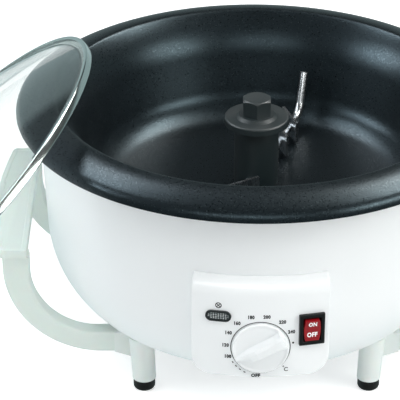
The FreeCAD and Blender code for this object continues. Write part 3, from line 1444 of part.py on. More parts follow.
def build():
    fill_sheet()
    envelope = shell_envelope()
    body_shell()
    base_plate()
    screw_ring("base_screws", "base_screw_ring", "base_screw_count", "screw_radius",
               "base_underside", "base_thickness + base_screw_reach", False)
    legs(envelope)
    leg_screws()
    handles(envelope)
    roasting_pan()
    pan_gasket()
    heating_element()
    heat_shield()
    pan_ties()
    gear_motor()
    drive_train()
    stirrer()
    control_panel(envelope)
    thermostat_and_knob()
    power_switch()
    indicator_lamp()
    cord_inlet()
    glass_lid()
    doc.recompute()


def check():
    """Stop on any failed object or any sub-part without a valid solid."""
    failed = [f"{o.Label}: {o.State}" for o in doc.Objects
              if "Invalid" in o.State or "Error" in o.State]
    for item in outputs:
        shape = item.Shape
        if shape.isNull() or not shape.isValid() or not shape.Solids:
            failed.append(f"{item.Label}: no valid solid")
    if failed:
        raise RuntimeError("; ".join(failed))


def write():
    """Write each sub-part to its own file."""
    os.makedirs("parts", exist_ok=True)
    for item in outputs:
        item.Shape.exportStep(os.path.join("parts", item.Label + ".step"))
        box = item.Shape.BoundBox
        print(f"{item.Label:24s} {len(item.Shape.Solids)} solid(s) {item.Shape.Volume:12.1f} mm3 "
              f"x {box.XMin:.1f}..{box.XMax:.1f} y {box.YMin:.1f}..{box.YMax:.1f} "
              f"z {box.ZMin:.1f}..{box.ZMax:.1f}")


build()
check()
write()
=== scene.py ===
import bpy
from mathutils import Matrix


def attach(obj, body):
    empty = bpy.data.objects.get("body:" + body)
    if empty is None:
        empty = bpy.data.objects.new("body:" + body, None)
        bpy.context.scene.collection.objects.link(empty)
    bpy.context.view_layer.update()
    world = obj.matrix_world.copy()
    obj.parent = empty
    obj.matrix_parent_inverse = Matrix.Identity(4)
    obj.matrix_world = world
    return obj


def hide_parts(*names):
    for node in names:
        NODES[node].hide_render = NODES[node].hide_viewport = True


bl_info = {
    "name": "Coffee Roaster Dressing",
    "version": (1, 0, 0),
    "blender": (4, 5, 0),
    "location": "3D View > Sidebar > Roaster",
    "description": "Dresses the packed coffee bean roaster: finishes, printed dial, lid, controls",
    "category": "Object",
}

from math import asin, atan2, copysign, cos, degrees, pi, radians, sin, sqrt, tan

import bmesh
import bpy
from bpy.props import FloatProperty, FloatVectorProperty, PointerProperty
from mathutils import Matrix, Vector

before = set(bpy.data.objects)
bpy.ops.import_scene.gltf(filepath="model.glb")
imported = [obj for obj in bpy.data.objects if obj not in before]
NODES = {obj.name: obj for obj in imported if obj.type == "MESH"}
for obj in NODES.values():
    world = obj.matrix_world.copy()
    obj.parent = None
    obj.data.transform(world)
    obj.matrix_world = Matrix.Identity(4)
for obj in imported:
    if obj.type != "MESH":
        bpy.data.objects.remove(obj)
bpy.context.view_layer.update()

# The roaster stands on z = 0 with the pan's axis at x = y = 0. The panel faces -Y. Lengths in the
# functions below are millimetres, and become metres where a mesh is made.
MM = 0.001


def linear(code):
    """The linear colour of an sRGB hex code."""
    parts = [int(code[i:i + 2], 16) / 255 for i in (1, 3, 5)]
    return tuple(c / 12.92 if c <= 0.04045 else ((c + 0.055) / 1.055) ** 2.4 for c in parts) \
        + (1.0,)


# --- Settings ------------------------------------------------------------------------------------

def length(name, millimetres, description):
    """A settable length, given in millimetres and held in metres."""
    return FloatProperty(name=name, description=description, default=millimetres * MM,
                         min=0.0, precision=5, subtype="DISTANCE", unit="LENGTH")


def colour(name, code, description):
    """A settable colour, given as an sRGB hex code."""
    return FloatVectorProperty(name=name, description=description, size=4, min=0.0, max=1.0,
                               subtype="COLOR", default=linear(code))


class RoasterSizes(bpy.types.PropertyGroup):
    grip_rim: length("Grip rim", 2.6, "Width of the raised rim round each grip's inlay")
    grip_recess: length("Grip recess", 0.5, "Depth of the inlay below the grip's rim")
    grip_rounding: length("Grip rounding", 0.6, "Radius on the grips' edges")
    band_rounding: length("Band rounding", 0.8, "Radius on the lid band's edges")
    print_size: length("Dial figures", 2.0, "Height of the dial's printed figures")
    print_thickness: length("Ink thickness", 0.05, "Thickness of the printed ink")
    ring_radius: length("Dial radius", 19.6, "Radius on which the dial's figures stand")
    # The dark ring round the knob is a painted shadow of the gap between knob and panel.
    line_radius: length("Shadow ring radius", 15.98, "Radius of the dark ring painted round the knob as its gap's shadow")
    line_width: length("Shadow ring width", 0.44, "Width of the dark ring painted round the knob as its gap's shadow")
    prism_pitch: length("Lens pitch", 1.28, "Width of the prisms on the lamp's lens, with the gap")
    prism_height: length("Lens relief", 0.5, "Height of the prisms on the lamp's lens")
    screw_recess: length("Screw recess", 1.1, "Depth of the cross recess in the screw heads")


class RoasterColours(bpy.types.PropertyGroup):
    housing: colour("Housing", "#EDF0F1", "White of the housing, panel and knob")
    handle: colour("Handles", "#DAE5DF", "Pale grey-green of the side handles and grips")
    legs: colour("Legs", "#E3EAE7", "Off-white of the legs and their brackets")
    pan: colour("Pan", "#0F1417", "Ground of the non-stick coating")
    speckle: colour("Pan speckle", "#7F9094", "Mineral flecks in the non-stick coating")
    casting: colour("Stirrer casting", "#1F2A2C", "Slate of the stirrer's hub and cap")
    rocker: colour("Rocker", "#93131B", "Red of the switch's rocker")
    ink: colour("Dial ink", "#12171A", "Ink of the dial's figures")


class RoasterStage(bpy.types.PropertyGroup):
    floor_half: length("Floor half width", 4000.0, "Half the width of the floor")
    focal: FloatProperty(name="Focal length", description="Camera's focal length in millimetres",
                         default=197.64, min=10.0, unit="CAMERA")
    tilt: FloatProperty(name="Camera tilt", description="Camera's angle below the horizon",
                        default=radians(28.51), subtype="ANGLE", unit="ROTATION")


# --- Meshes --------------------------------------------------------------------------------------

ON_AXIS = 1e-6          # a lathe's point nearer to the axis than this, in millimetres, is one point
SAME_POINT = 1e-7       # points of a new mesh nearer than this, in metres, are merged
SAME_CAD_POINT = 2e-6   # and those of a copied CAD mesh
FLAT = 0.5              # degrees between CAD triangles that make one flat face
EDGE_SHARE = 0.49       # of an edge, that the rounding of one corner may take
BEVEL_PARTS = 3         # faces across a rounded edge


def rounded(points, parts=5):
    """A closed outline with its corners rounded. A point is (x, y) or (x, y, radius)."""
    outline = []
    for i, (x, y, *radius) in enumerate(points):
        if not any(radius):
            outline.append((x, y))
            continue
        here = Vector((x, y))
        back = Vector(points[i - 1][:2]) - here
        ahead = Vector(points[(i + 1) % len(points)][:2]) - here
        half = back.angle(ahead) / 2
        reach = min(radius[0] / tan(half), EDGE_SHARE * min(back.length, ahead.length))
        bend = reach * tan(half)
        centre = here + (back.normalized() + ahead.normalized()).normalized() * (bend / sin(half))
        start = here + back.normalized() * reach - centre
        end = here + ahead.normalized() * reach - centre
        sweep = atan2(start.x * end.y - start.y * end.x, start.dot(end))
        for k in range(parts + 1):
            turn = sweep * k / parts
            outline.append((centre.x + start.x * cos(turn) - start.y * sin(turn),
                            centre.y + start.x * sin(turn) + start.y * cos(turn)))
    return outline


def arc(cx, cy, radius, first, last, parts):
    """Points along an arc, from one angle in degrees to another."""
    angles = [radians(first + (last - first) * k / parts) for k in range(parts + 1)]
    return [(cx + radius * cos(a), cy + radius * sin(a)) for a in angles]


def block(width, height, corner, parts=4):
    """A rounded rectangle about the origin."""
    x, y = width / 2, height / 2
    return rounded([(-x, -y, corner), (x, -y, corner), (x, y, corner), (-x, y, corner)], parts)


def raised(outline, level):
    """An outline as points at a height."""
    return [(x, y, level) for x, y in outline]


def linked(name, data):
    """An object with its data, linked to the scene."""
    item = bpy.data.objects.new(name, data)
    bpy.context.scene.collection.objects.link(item)
    return item


def piece(name, verts, faces, edges=()):
    """An object from points in millimetres."""
    mesh = bpy.data.meshes.new(name)
    mesh.from_pydata([Vector(v) * MM for v in verts], edges, faces)
    return linked(name, mesh)


def outward(item):
    """Merge doubled points and turn all faces outwards."""
    work = bmesh.new()
    work.from_mesh(item.data)
    bmesh.ops.remove_doubles(work, verts=work.verts, dist=SAME_POINT)
    bmesh.ops.recalc_face_normals(work, faces=work.faces)
    work.to_mesh(item.data)
    work.free()
    return item


def lathe(name, outline, steps):
    """A closed outline of (radius, height) points turned about the vertical axis."""
    verts, rings = [], []
    for step in range(steps):
        turn = 2 * pi * step / steps
        ring = []
        for k, (radius, height) in enumerate(outline):
            if radius < ON_AXIS and step:
                ring.append(rings[0][k])
                continue
            ring.append(len(verts))
            verts.append((radius * cos(turn), radius * sin(turn), height))
        rings.append(ring)
    faces = []
    for step in range(steps):
        here, after = rings[step], rings[(step + 1) % steps]
        for k in range(len(outline)):
            m = (k + 1) % len(outline)
            corners = [here[k], after[k], after[m], here[m]]
            corners = [c for i, c in enumerate(corners) if c not in corners[:i]]
            if len(corners) > 2:
                faces.append(corners)
    return outward(piece(name, verts, faces))


def loft(name, loops):
    """A closed skin through loops of equal numbers of points."""
    count = len(loops[0])
    verts = [point for loop in loops for point in loop]
    faces = [tuple(range(count)), tuple(range(len(verts) - count, len(verts)))]
    for start in range(0, len(verts) - count, count):
        faces += [(start + k, start + (k + 1) % count, start + count + (k + 1) % count,
                   start + count + k) for k in range(count)]
    return outward(piece(name, verts, faces))


def slab(name, outline, low, high):
    """A closed outline pushed up from one height to another."""
    return loft(name, [raised(outline, low), raised(outline, high)])


def plain_copy(node, name):
    """A copy of a CAD node's mesh with its loose triangles joined into flat faces."""
    mesh = NODES[node].data.copy()
    if mesh.has_custom_normals:
        mesh.attributes.remove(mesh.attributes["custom_normal"])
    work = bmesh.new()
    work.from_mesh(mesh)
    bmesh.ops.remove_doubles(work, verts=work.verts, dist=SAME_CAD_POINT)
    bmesh.ops.dissolve_limit(work, angle_limit=radians(FLAT), verts=work.verts, edges=work.edges)
    work.to_mesh(mesh)
    work.free()
    return linked(name, mesh)


def settle(item):
    """Turn a piece's modifiers into plain mesh."""
    shown = item.evaluated_get(bpy.context.evaluated_depsgraph_get())
    mesh = bpy.data.meshes.new_from_object(shown)
    item.modifiers.clear()
    item.data = mesh


def bevel(item, width, angle):
    """Round a piece's edges that are sharper than an angle in degrees."""
    rounding = item.modifiers.new("Rounded edges", "BEVEL")
    rounding.width = width
    rounding.segments = BEVEL_PARTS
    rounding.limit_method = "ANGLE"
    rounding.angle_limit = radians(angle)
    settle(item)


def cut(item, tool):
    """Cut a tool from a piece and delete the tool."""
    step = item.modifiers.new("Cut", "BOOLEAN")
    step.operation = "DIFFERENCE"
    step.solver = "EXACT"
    step.object = tool
    settle(item)
    bpy.data.objects.remove(tool)


def join(name, parts):
    """One plain mesh from several objects, which are deleted."""
    work = bmesh.new()
    for part in parts:
        work.from_mesh(part.data)
        bpy.data.objects.remove(part)
    mesh = bpy.data.meshes.new(name)
    work.to_mesh(mesh)
    work.free()
    return linked(name, mesh)


def mirrored(item, name):
    """A mirror copy of a piece across the plane x = 0, with its faces outwards."""
    mesh = item.data.copy()
    mesh.transform(Matrix.Diagonal((-1, 1, 1, 1)))
    mesh.flip_normals()
    return linked(name, mesh)


def place(item, matrix):
    """Set a piece's place in its mesh."""
    item.data.transform(matrix)
    return item


def hand_over(item, body, finish, nodes=(), angle=32.0):
    """Finish a piece: smooth faces, its material, its body and what it stands for."""
    item.data.shade_smooth()
    item.data.set_sharp_from_angle(angle=radians(angle))
    item.data.materials.clear()
    item.data.materials.append(FINISHES[finish])
    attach(item, body)
    if nodes:
        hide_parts(*nodes)


# --- Materials -----------------------------------------------------------------------------------

FINISHES = {}

# Moulded, cast, coated and printed finishes. A row gives the material, its colour as a setting or
# a hex code, its roughness, the pitch and depth of its surface waves in millimetres, how far its
# tone and its gloss vary, and the shader's other sockets.
MOULDED = {
    # Glossy ABS off a polished tool: clean white with a soft, faintly wavy reflection.
    "abs": ("White ABS, polished mould", "housing", 0.28, 0.6, 0.0008, 0.004, 0.02,
            {"Coat Weight": 0.2, "Coat Roughness": 0.15, "IOR": 1.53}),
    # Polypropylene, finely sparked: paler gloss and a slight green cast where the light sinks in.
    "polypropylene": ("Grey-green polypropylene", "handle", 0.38, 0.9, 0.003, 0.01, 0.06,
                      {"IOR": 1.49, "Subsurface Weight": 0.12, "Subsurface Scale": 0.004}),
    # The same plastic with less green in it.
    "legs": ("Off-white polypropylene", "legs", 0.38, 0.9, 0.003, 0.01, 0.06,
             {"IOR": 1.49, "Subsurface Weight": 0.1, "Subsurface Scale": 0.004}),
    # Sprayed slate coating on the die-cast hub: dull and fine-grained.
    "casting": ("Slate coated zinc casting", "casting", 0.46, 0.6, 0.015, 0.09, 0.15,
                {"IOR": 1.5}),
    # Black ABS: deep, half-gloss.
    "black": ("Black ABS, satin mould", "#0A0B0C", 0.34, 0.8, 0.006, 0.12, 0.15, {"IOR": 1.53}),
    # The lamp's rim is the same plastic in dark grey.
    "rim": ("Dark grey ABS, satin mould", "#22292A", 0.4, 0.8, 0.006, 0.12, 0.15,
            {"IOR": 1.53}),
    # Moulded EPDM: matt, with a dusting that lifts the black.
    "rubber": ("Black EPDM rubber", "#0A0B0B", 0.6, 0.5, 0.02, 0.25, 0.15, {}),
    # Clear red polycarbonate over a red core: bright, wet gloss.
    "red": ("Red polycarbonate", "rocker", 0.22, 2.0, 0.003, 0.05, 0.15,
            {"IOR": 1.58, "Coat Weight": 0.3, "Coat Roughness": 0.08, "Subsurface Weight": 0.1,
             "Subsurface Scale": 0.002}),
    # Styrene lens: a smoke-grey plate, and prisms of the same styrene whose paler colour is a
    # painted highlight for the small lights they catch.
    "lens": ("Smoked styrene lens", "#4A5354", 0.16, 1.0, 0.002, 0.1, 0.15,
             {"IOR": 1.59, "Transmission Weight": 0.2}),
    "prisms": ("Clear styrene prisms", "#747C7D", 0.22, 1.0, 0.002, 0.1, 0.15,
               {"IOR": 1.59, "Specular IOR Level": 0.3}),
    # Screen-printed ink, thin and matt.
    "ink": ("Black screen ink", "ink", 0.55, 0.4, 0.004, 0.1, 0.15, {}),
    "legend": ("White screen ink", "#F4F5F5", 0.5, 0.4, 0.004, 0.02, 0.15, {}),
    # Cast silicone: waxy and soft.
    "silicone": ("Red-brown silicone", "#7E2E22", 0.5, 0.7, 0.01, 0.08, 0.15,
                 {"IOR": 1.43, "Subsurface Weight": 0.2, "Subsurface Scale": 0.002}),
    "clear_silicone": ("Clear silicone", "#DADCDA", 0.42, 0.7, 0.008, 0.05, 0.15,
                       {"IOR": 1.43, "Transmission Weight": 0.5}),
}

# Metals. A row gives the metal, its colour, its roughness, the pitch of its grain in millimetres,
# the grain's scale along each axis, where less than 1 draws it out, its depth in millimetres and
# how far its tone varies.
METALS = {
    # Bright-annealed stainless, drawn through a die: fine lines along the wire.
    "stainless": ("Drawn stainless steel", "#B9BDBF", 0.27, 0.5, (1, 1, 0.12), 0.003, 0.08),
    # Polished stainless strip: a mirror with very faint roll lines.
    "polished": ("Polished stainless strip", "#CFD8D6", 0.15, 0.35, None, 0.0004, 0.02),
    # Zinc-plated sheet: soft grey mirror with cloudy passivation.
    "zinc": ("Zinc-plated steel sheet", "#A9AEB2", 0.33, 2.2, (1, 0.25, 1), 0.003, 0.12),
    "screw": ("Zinc-plated screw steel", "#B4B7B8", 0.28, 0.4, None, 0.004, 0.15),
    # Hot-dipped sheet: dull silver with a fine spangle.
    "aluminised": ("Aluminised steel sheet", "#BBBFC2", 0.4, 1.5, None, 0.01, 0.12),
    # Sheath that has glowed: brown oxide in broad, uneven patches.
    "sheath": ("Heat-stained steel sheath", "#5A4A3E", 0.45, 6.0, None, 0.006, 0.4),
    # Pressed powder: dull, with open pores.
    "bronze": ("Sintered bronze", "#A57848", 0.5, 0.3, None, 0.02, 0.25),
    # Turned brass: fine rings round the axis.
    "brass": ("Turned brass", "#C9A45A", 0.25, 0.4, (0.2, 0.2, 1), 0.003, 0.1),
}

USUAL_NOISE = (0.3, 0.7)    # most of a noise texture lies between these
WHOLE_NOISE = (0.0, 1.0)    # and all of it between these

# Pitches in millimetres of what drifts slowly over a surface.
FLOW = 38.0                 # tone of a moulding, as the plastic flowed into the mould
SMEAR = 14.0                # its gloss
STAIN = 22.0                # a metal's gloss


def feed(tree, socket, value):
    """Feed an input with a plain value, a socket or the first output of a node."""
    if isinstance(value, bpy.types.Node):
        value = value.outputs[0]
    if isinstance(value, bpy.types.NodeSocket):
        tree.links.new(value, socket)
    else:
        socket.default_value = value


def add(tree, kind, links=None, **settings):
    """Add a node with its settings and what its inputs are fed with."""
    node = tree.nodes.new(kind)
    for key, value in settings.items():
        setattr(node, key, value)
    for key, value in (links or {}).items():
        feed(tree, node.inputs[key], value)
    return node


def shade(base, factor):
    """A colour made lighter or darker."""
    return tuple(min(1.0, c * factor) for c in base[:3]) + (1.0,)


class Finish:
    """A material in the making: its shader, and the patterns that drive its sockets."""

    def __init__(self, name, base, roughness, sockets):
        self.material = bpy.data.materials.new(name)
        self.material.use_nodes = True
        self.tree = self.material.node_tree
        self.shader = self.tree.nodes["Principled BSDF"]
        self.drive({"Base Color": tuple(base), "Roughness": roughness, **sockets})
        self.place = add(self.tree, "ShaderNodeTexCoord").outputs["Object"]

    def drive(self, sockets):
        """Feed the shader's sockets."""
        for key, value in sockets.items():
            feed(self.tree, self.shader.inputs[key], value)

    def clouds(self, pitch, detail, low, high, noise=USUAL_NOISE, stretch=None):
        """A value that drifts between two over a pitch in millimetres."""
        spot = self.place
        if stretch:
            spot = add(self.tree, "ShaderNodeMapping", {"Vector": spot, "Scale": stretch})
        cloud = add(self.tree, "ShaderNodeTexNoise",
                    {"Vector": spot, "Scale": 1 / (pitch * MM), "Detail": detail})
        return add(self.tree, "ShaderNodeMapRange", {
            "Value": cloud, "From Min": noise[0], "From Max": noise[1], "To Min": low,
            "To Max": high})

    def mottle(self, pitch, detail, dark, light, stretch=None):
        """A colour that drifts between two."""
        return add(self.tree, "ShaderNodeMix", {
            0: self.clouds(pitch, detail, 0.0, 1.0, stretch=stretch), 6: dark, 7: light},
            data_type="RGBA").outputs[2]

    def waves(self, pitch, detail, depth, strength=1.0, stretch=None):
        """Relief of a pitch and a depth in millimetres."""
        return add(self.tree, "ShaderNodeBump", {
            "Height": self.clouds(pitch, detail, 0.0, 1.0, WHOLE_NOISE, stretch),
            "Distance": depth * MM, "Strength": strength})


def moulded(name, base, roughness, pitch, depth, tone, uneven, sockets):
    """Injection-moulded plastic: even colour, faint flow mottling, a slightly uneven gloss."""
    look = Finish(name, base, roughness, sockets)
    look.drive({
        "Base Color": look.mottle(FLOW, 3.0, shade(base, 1 - tone), shade(base, 1 + tone)),
        "Roughness": look.clouds(SMEAR, 4.0, roughness * (1 - uneven), roughness * (1 + uneven)),
        "Normal": look.waves(pitch, 2.0, depth)})
    return look.material


def metal(name, base, roughness, grain, stretch, depth, tone):
    """Worked metal: a fine grain in colour, gloss and relief, over broad stains in the gloss."""
    look = Finish(name, base, roughness, {"Metallic": 1.0})
    gloss = add(look.tree, "ShaderNodeMath", {
        0: look.clouds(grain, 3.0, -0.05, 0.05, stretch=stretch),
        1: look.clouds(STAIN, 3.0, roughness * 0.85, roughness * 1.2)}, operation="ADD")
    look.drive({
        "Base Color": look.mottle(grain, 3.0, shade(base, 1 - tone), shade(base, 1 + tone),
                                  stretch),
        "Roughness": gloss,
        "Normal": look.waves(grain, 3.0, depth, stretch=stretch)})
    return look.material


def nonstick_coating(hues):
    """Sprayed fluoropolymer with mineral flecks on blasted aluminium: dark satin that turns to a
    grainy blue-grey where the light grazes it. Flecks and grain are drawn at 0.9 mm,
    coarser than the real ones, so that they show."""
    grit = 0.9
    look = Finish("Flecked non-stick coating", hues.pan, 0.36,
                  {"IOR": 1.45, "Specular Tint": linear("#B4D2DE")})
    tree = look.tree
    fleck = add(tree, "ShaderNodeTexVoronoi",
                {"Vector": look.place, "Scale": 1 / (grit * MM), "Randomness": 1.0}, feature="F1")
    # A fleck fades out from its middle, and only about half of the cells hold one.
    middle = add(tree, "ShaderNodeMapRange", {
        "Value": fleck, "From Min": 0.12, "From Max": 0.34, "To Min": 1.0, "To Max": 0.0})
    chance = add(tree, "ShaderNodeSeparateColor", {"Color": fleck.outputs["Color"]})
    held = add(tree, "ShaderNodeMapRange", {"Value": chance, "From Min": 0.55, "From Max": 0.95})
    both = add(tree, "ShaderNodeMath", {0: middle, 1: held}, operation="MULTIPLY")
    faint = add(tree, "ShaderNodeMath", {0: both, 1: 0.2}, operation="MULTIPLY")
    flecked = add(tree, "ShaderNodeMix", {
        0: faint, 6: look.mottle(30.0, 3.0, shade(hues.pan, 0.85), shade(hues.pan, 1.2)),
        7: tuple(hues.speckle)}, data_type="RGBA")
    look.drive({"Base Color": flecked.outputs[2],
                "Roughness": look.clouds(grit, 2.0, 0.25, 0.41),
                "Normal": look.waves(grit, 2.0, 0.07, 0.6)})
    return look.material


def make_finishes(hues):
    """Every finish of the roaster, each named for its real material."""
    for key, (name, tint, *rest) in MOULDED.items():
        base = linear(tint) if tint.startswith("#") else getattr(hues, tint)
        FINISHES[key] = moulded(name, base, *rest)
    for key, (name, tint, *rest) in METALS.items():
        FINISHES[key] = metal(name, linear(tint), *rest)
    FINISHES["nonstick"] = nonstick_coating(hues)
    # Toughened glass: clear, with a breath of green and a faint waviness.
    glass = Finish("Toughened soda-lime glass", linear("#FBFEFD"), 0.0,
                   {"IOR": 1.52, "Transmission Weight": 1.0})
    glass.drive({"Normal": glass.waves(45.0, 1.0, 0.02, 0.4)})
    FINISHES["glass"] = glass.material
    # Blown glass of the neon: clear and warm.
    FINISHES["bulb"] = Finish("Clear neon glass", linear("#E9DCD2"), 0.03,
                              {"IOR": 1.5, "Transmission Weight": 0.9}).material


# --- Trees of geometry nodes ---------------------------------------------------------------------

def new_tree(name, inputs):
    """A tree with a geometry in and out, named inputs of their kinds and a finish."""
    tree = bpy.data.node_groups.new(name, "GeometryNodeTree")
    tree.interface.new_socket("Geometry", in_out="OUTPUT", socket_type="NodeSocketGeometry")
    for label, kind in {"Geometry": "Geometry", **inputs, "Finish": "Material"}.items():
        tree.interface.new_socket(label, in_out="INPUT", socket_type="NodeSocket" + kind)
    return tree, add(tree, "NodeGroupInput").outputs


def end_tree(tree, instances, given):
    """Make instances real, give them the finish and close the tree."""
    real = add(tree, "GeometryNodeRealizeInstances", {"Geometry": instances})
    done = add(tree, "GeometryNodeSetMaterial", {"Geometry": real, "Material": given["Finish"]})
    add(tree, "NodeGroupOutput", {0: done})
    return tree


def ring_tree():
    """A part put at a place, and repeated from there round an arc about the vertical axis."""
    tree, given = new_tree("Parts round an arc", {
        "Count": "Int", "Place": "Vector", "First": "Float", "Step": "Float"})
    spots = add(tree, "GeometryNodeMeshLine", {
        "Count": given["Count"], "Start Location": given["Place"], "Offset": (0.0, 0.0, 0.0)})
    parts = add(tree, "GeometryNodeInstanceOnPoints", {
        "Points": spots, "Instance": given["Geometry"]})
    angle = add(tree, "ShaderNodeMath", {
        0: add(tree, "GeometryNodeInputIndex"), 1: given["Step"], 2: given["First"]},
        operation="MULTIPLY_ADD")
    turned = add(tree, "GeometryNodeRotateInstances", {
        "Instances": parts, "Rotation": add(tree, "ShaderNodeCombineXYZ", {"Z": angle}),
        "Local Space": False})
    return end_tree(tree, turned, given)


def prism_tree():
    """Small four-sided prisms on a lattice, kept inside a slot with round ends."""
    tree, given = new_tree("Prisms in a slot", {
        "Width": "Float", "Height": "Float", "Columns": "Int", "Rows": "Int",
        "Slot middle": "Vector", "Slot radius": "Float", "Radius": "Float", "Relief": "Float"})
    lattice = add(tree, "GeometryNodeMeshGrid", {
        "Size X": given["Width"], "Size Y": given["Height"], "Vertices X": given["Columns"],
        "Vertices Y": given["Rows"]})
    # How far a point is from the line between the middles of the slot's round ends.
    apart = add(tree, "GeometryNodeInputPosition")
    for operation, other in (("ABSOLUTE", None), ("SUBTRACT", given["Slot middle"]),
                             ("MAXIMUM", (0.0, 0.0, 0.0)), ("LENGTH", None)):
        apart = add(tree, "ShaderNodeVectorMath",
                    {0: apart, 1: other} if other else {0: apart}, operation=operation)
    outside = add(tree, "ShaderNodeMath", {0: apart.outputs["Value"], 1: given["Slot radius"]},
                  operation="GREATER_THAN")
    kept = add(tree, "GeometryNodeDeleteGeometry", {"Geometry": lattice, "Selection": outside},
               domain="POINT")
    prism = add(tree, "GeometryNodeMeshCone", {
        "Vertices": 4, "Radius Top": 0.0, "Radius Bottom": given["Radius"],
        "Depth": given["Relief"]}, fill_type="NGON")
    parts = add(tree, "GeometryNodeInstanceOnPoints", {"Points": kept, "Instance": prism})
    return end_tree(tree, parts, given)


def sweep_tree():
    """A section swept round a circle about the vertical axis."""
    tree, given = new_tree("Section round a circle", {"Radius": "Float", "Steps": "Int"})
    section = add(tree, "GeometryNodeMeshToCurve", {"Mesh": given["Geometry"]})
    path = add(tree, "GeometryNodeCurvePrimitiveCircle", {
        "Resolution": given["Steps"], "Radius": given["Radius"]})
    shell = add(tree, "GeometryNodeCurveToMesh", {"Curve": path, "Profile Curve": section})
    return end_tree(tree, shell, given)


def grow(item, tree, finish, **values):
    """Run a tree on a piece with its inputs, and turn the result into plain mesh."""
    nodes = item.modifiers.new(tree.name, "NODES")
    nodes.node_group = tree
    values["Finish"] = FINISHES[finish]
    for socket in tree.interface.items_tree:
        key = socket.name.replace(" ", "_")
        if socket.in_out == "INPUT" and key in values:
            nodes[socket.identifier] = values[key]
    settle(item)
    return item


def swept(name, outline, middle, steps, finish):
    """A closed outline of (radius, height) points swept round the vertical axis."""
    count = len(outline)
    item = piece(name, [(x - middle, -y, 0.0) for x, y in outline], [],
                 [(k, (k + 1) % count) for k in range(count)])
    grow(item, sweep_tree(), finish, Radius=middle * MM, Steps=steps)
    return outward(item)


# --- Places --------------------------------------------------------------------------------------

# Radii are from the pan's axis, levels above the floor, and turns in degrees from the panel's
# middle, towards +X where positive.
PANEL_RADIUS = 129.0
BEZEL_BACK = 129.05     # where the switch's bezel and the lamp lie on the panel
BEZEL_FACE = 130.85
KNOB_LEVEL = 67.2
KNOB_TURN = 29.5        # of the bar at rest, about the knob's own axis
SWITCH_LEVEL = 77.7
SWITCH_TURN = 12.2
ROCKER_PIVOT = 128.25
ROCKER_TILT = 6.0       # of the rocker at rest
LAMP_LEVEL = 86.3
LAMP_TURN = -10.1
LAMP_STAND = 0.9        # of the lamp's lens in front of BEZEL_BACK
TIE_RING = 63.0         # radius of the ring of tie screws and of the pan's bosses for them
# The leaning lid: the middle of its edge's plane, and the way its top faces.
LID_CENTRE = Vector((-188.8864, -17.9294, 90.4274)) * MM
LID_AXIS = Vector((-0.68385, 0.040628, 0.72849))


def facing(turn, level):
    """Brings a flat drawing (across, up, out from the pan's axis) to the panel."""
    return Matrix.Rotation(radians(turn), 4, "Z") @ Matrix(
        ((1, 0, 0, 0), (0, 0, -1, 0), (0, 1, 0, level * MM), (0, 0, 0, 1)))


def on_lid():
    """Brings a piece turned about the vertical axis to the lid's place and lean."""
    return Matrix.Translation(LID_CENTRE) @ LID_AXIS.to_track_quat("Z", "Y").to_matrix().to_4x4()


# --- Print ---------------------------------------------------------------------------------------

# A print is drawn flat as a plate 1 mm thick, and gets the ink's thickness when it is laid on.
PLATE = 1.0
INK_SINK = 0.01         # of the ink's back into the panel, so that no gap shows
CAPITAL = 0.72          # height of a capital as a share of the font's size


def lettering(words, height, weight, spacing=1.0, width=1.0):
    """A word as a plate about the origin, its capitals of a height in millimetres, its strokes
    fattened by a weight, made narrower on request."""
    data = bpy.data.curves.new(words, "FONT")
    data.body = words
    data.align_x = "CENTER"
    data.size = height / CAPITAL
    data.offset = weight
    data.space_character = spacing
    data.extrude = PLATE / 2
    data.resolution_u = 3
    source = linked(words, data)
    shown = source.evaluated_get(bpy.context.evaluated_depsgraph_get())
    mesh = bpy.data.meshes.new_from_object(shown)
    bpy.data.objects.remove(source)
    middle = [(min(v.co[i] for v in mesh.vertices) + max(v.co[i] for v in mesh.vertices)) / 2
              for i in (0, 1)]
    mesh.transform(Matrix.Scale(MM, 4) @ Matrix.Diagonal((width, 1, 1, 1))
                   @ Matrix.Translation((-middle[0], -middle[1], PLATE / 2)))
    return linked(words, mesh)


def flat_ring(name, radius, width, steps):
    """A ring as a plate about the origin."""
    inner, outer = radius - width / 2, radius + width / 2
    return lathe(name, [(inner, 0.0), (outer, 0.0), (outer, PLATE), (inner, PLATE)], steps)


def print_on_panel(item, across, level, thickness):
    """Wrap a plate onto the front of the panel."""
    for vertex in item.data.vertices:
        x, y, z = vertex.co / MM
        out = PANEL_RADIUS + (thickness if z > PLATE / 2 else -INK_SINK)
        turn = (across + x) / PANEL_RADIUS
        vertex.co = Vector((out * sin(turn), -out * cos(turn), level + y)) * MM
    return item


# --- Pieces --------------------------------------------------------------------------------------

# The CAD solids whose shape stays, by finish.
CAD_FINISHES = {
    "abs": ("body_shell", "control_panel"),
    "polypropylene": ("left_handle", "right_handle"),
    "legs": ("leg_front_left", "leg_front_right", "leg_back_left", "leg_back_right"),
    "casting": ("stirrer_hub", "hub_disc", "hex_cap"),
    "rubber": ("foot_tip_front_left", "foot_tip_front_right", "foot_tip_back_left",
               "foot_tip_back_right"),
    "stainless": ("stirrer_arm_a", "stirrer_arm_b", "drive_shaft", "motor_spindle"),
    "zinc": ("base_plate", "motor_bracket", "shaft_coupling", "shield_spacers", "pan_spacers"),
    "aluminised": ("heat_shield", "gear_motor"),
    "sheath": ("heating_element",),
    "bronze": ("shaft_bush",),
    "silicone": ("pan_gasket", "shaft_seal"),
    "clear_silicone": ("lid_washer",),
    "black": ("cord_gland", "terminal_block", "thermostat"),
    "rim": ("lamp_rim",),
    "brass": ("thermostat_spindle", "rocker_pin", "switch_terminals"),
    "bulb": ("lamp_neon",),
    "glass": ("lid_glass",),
}


class RoasterOperator:
    """What every operator of the roaster shares."""
    bl_options = {"REGISTER", "UNDO"}


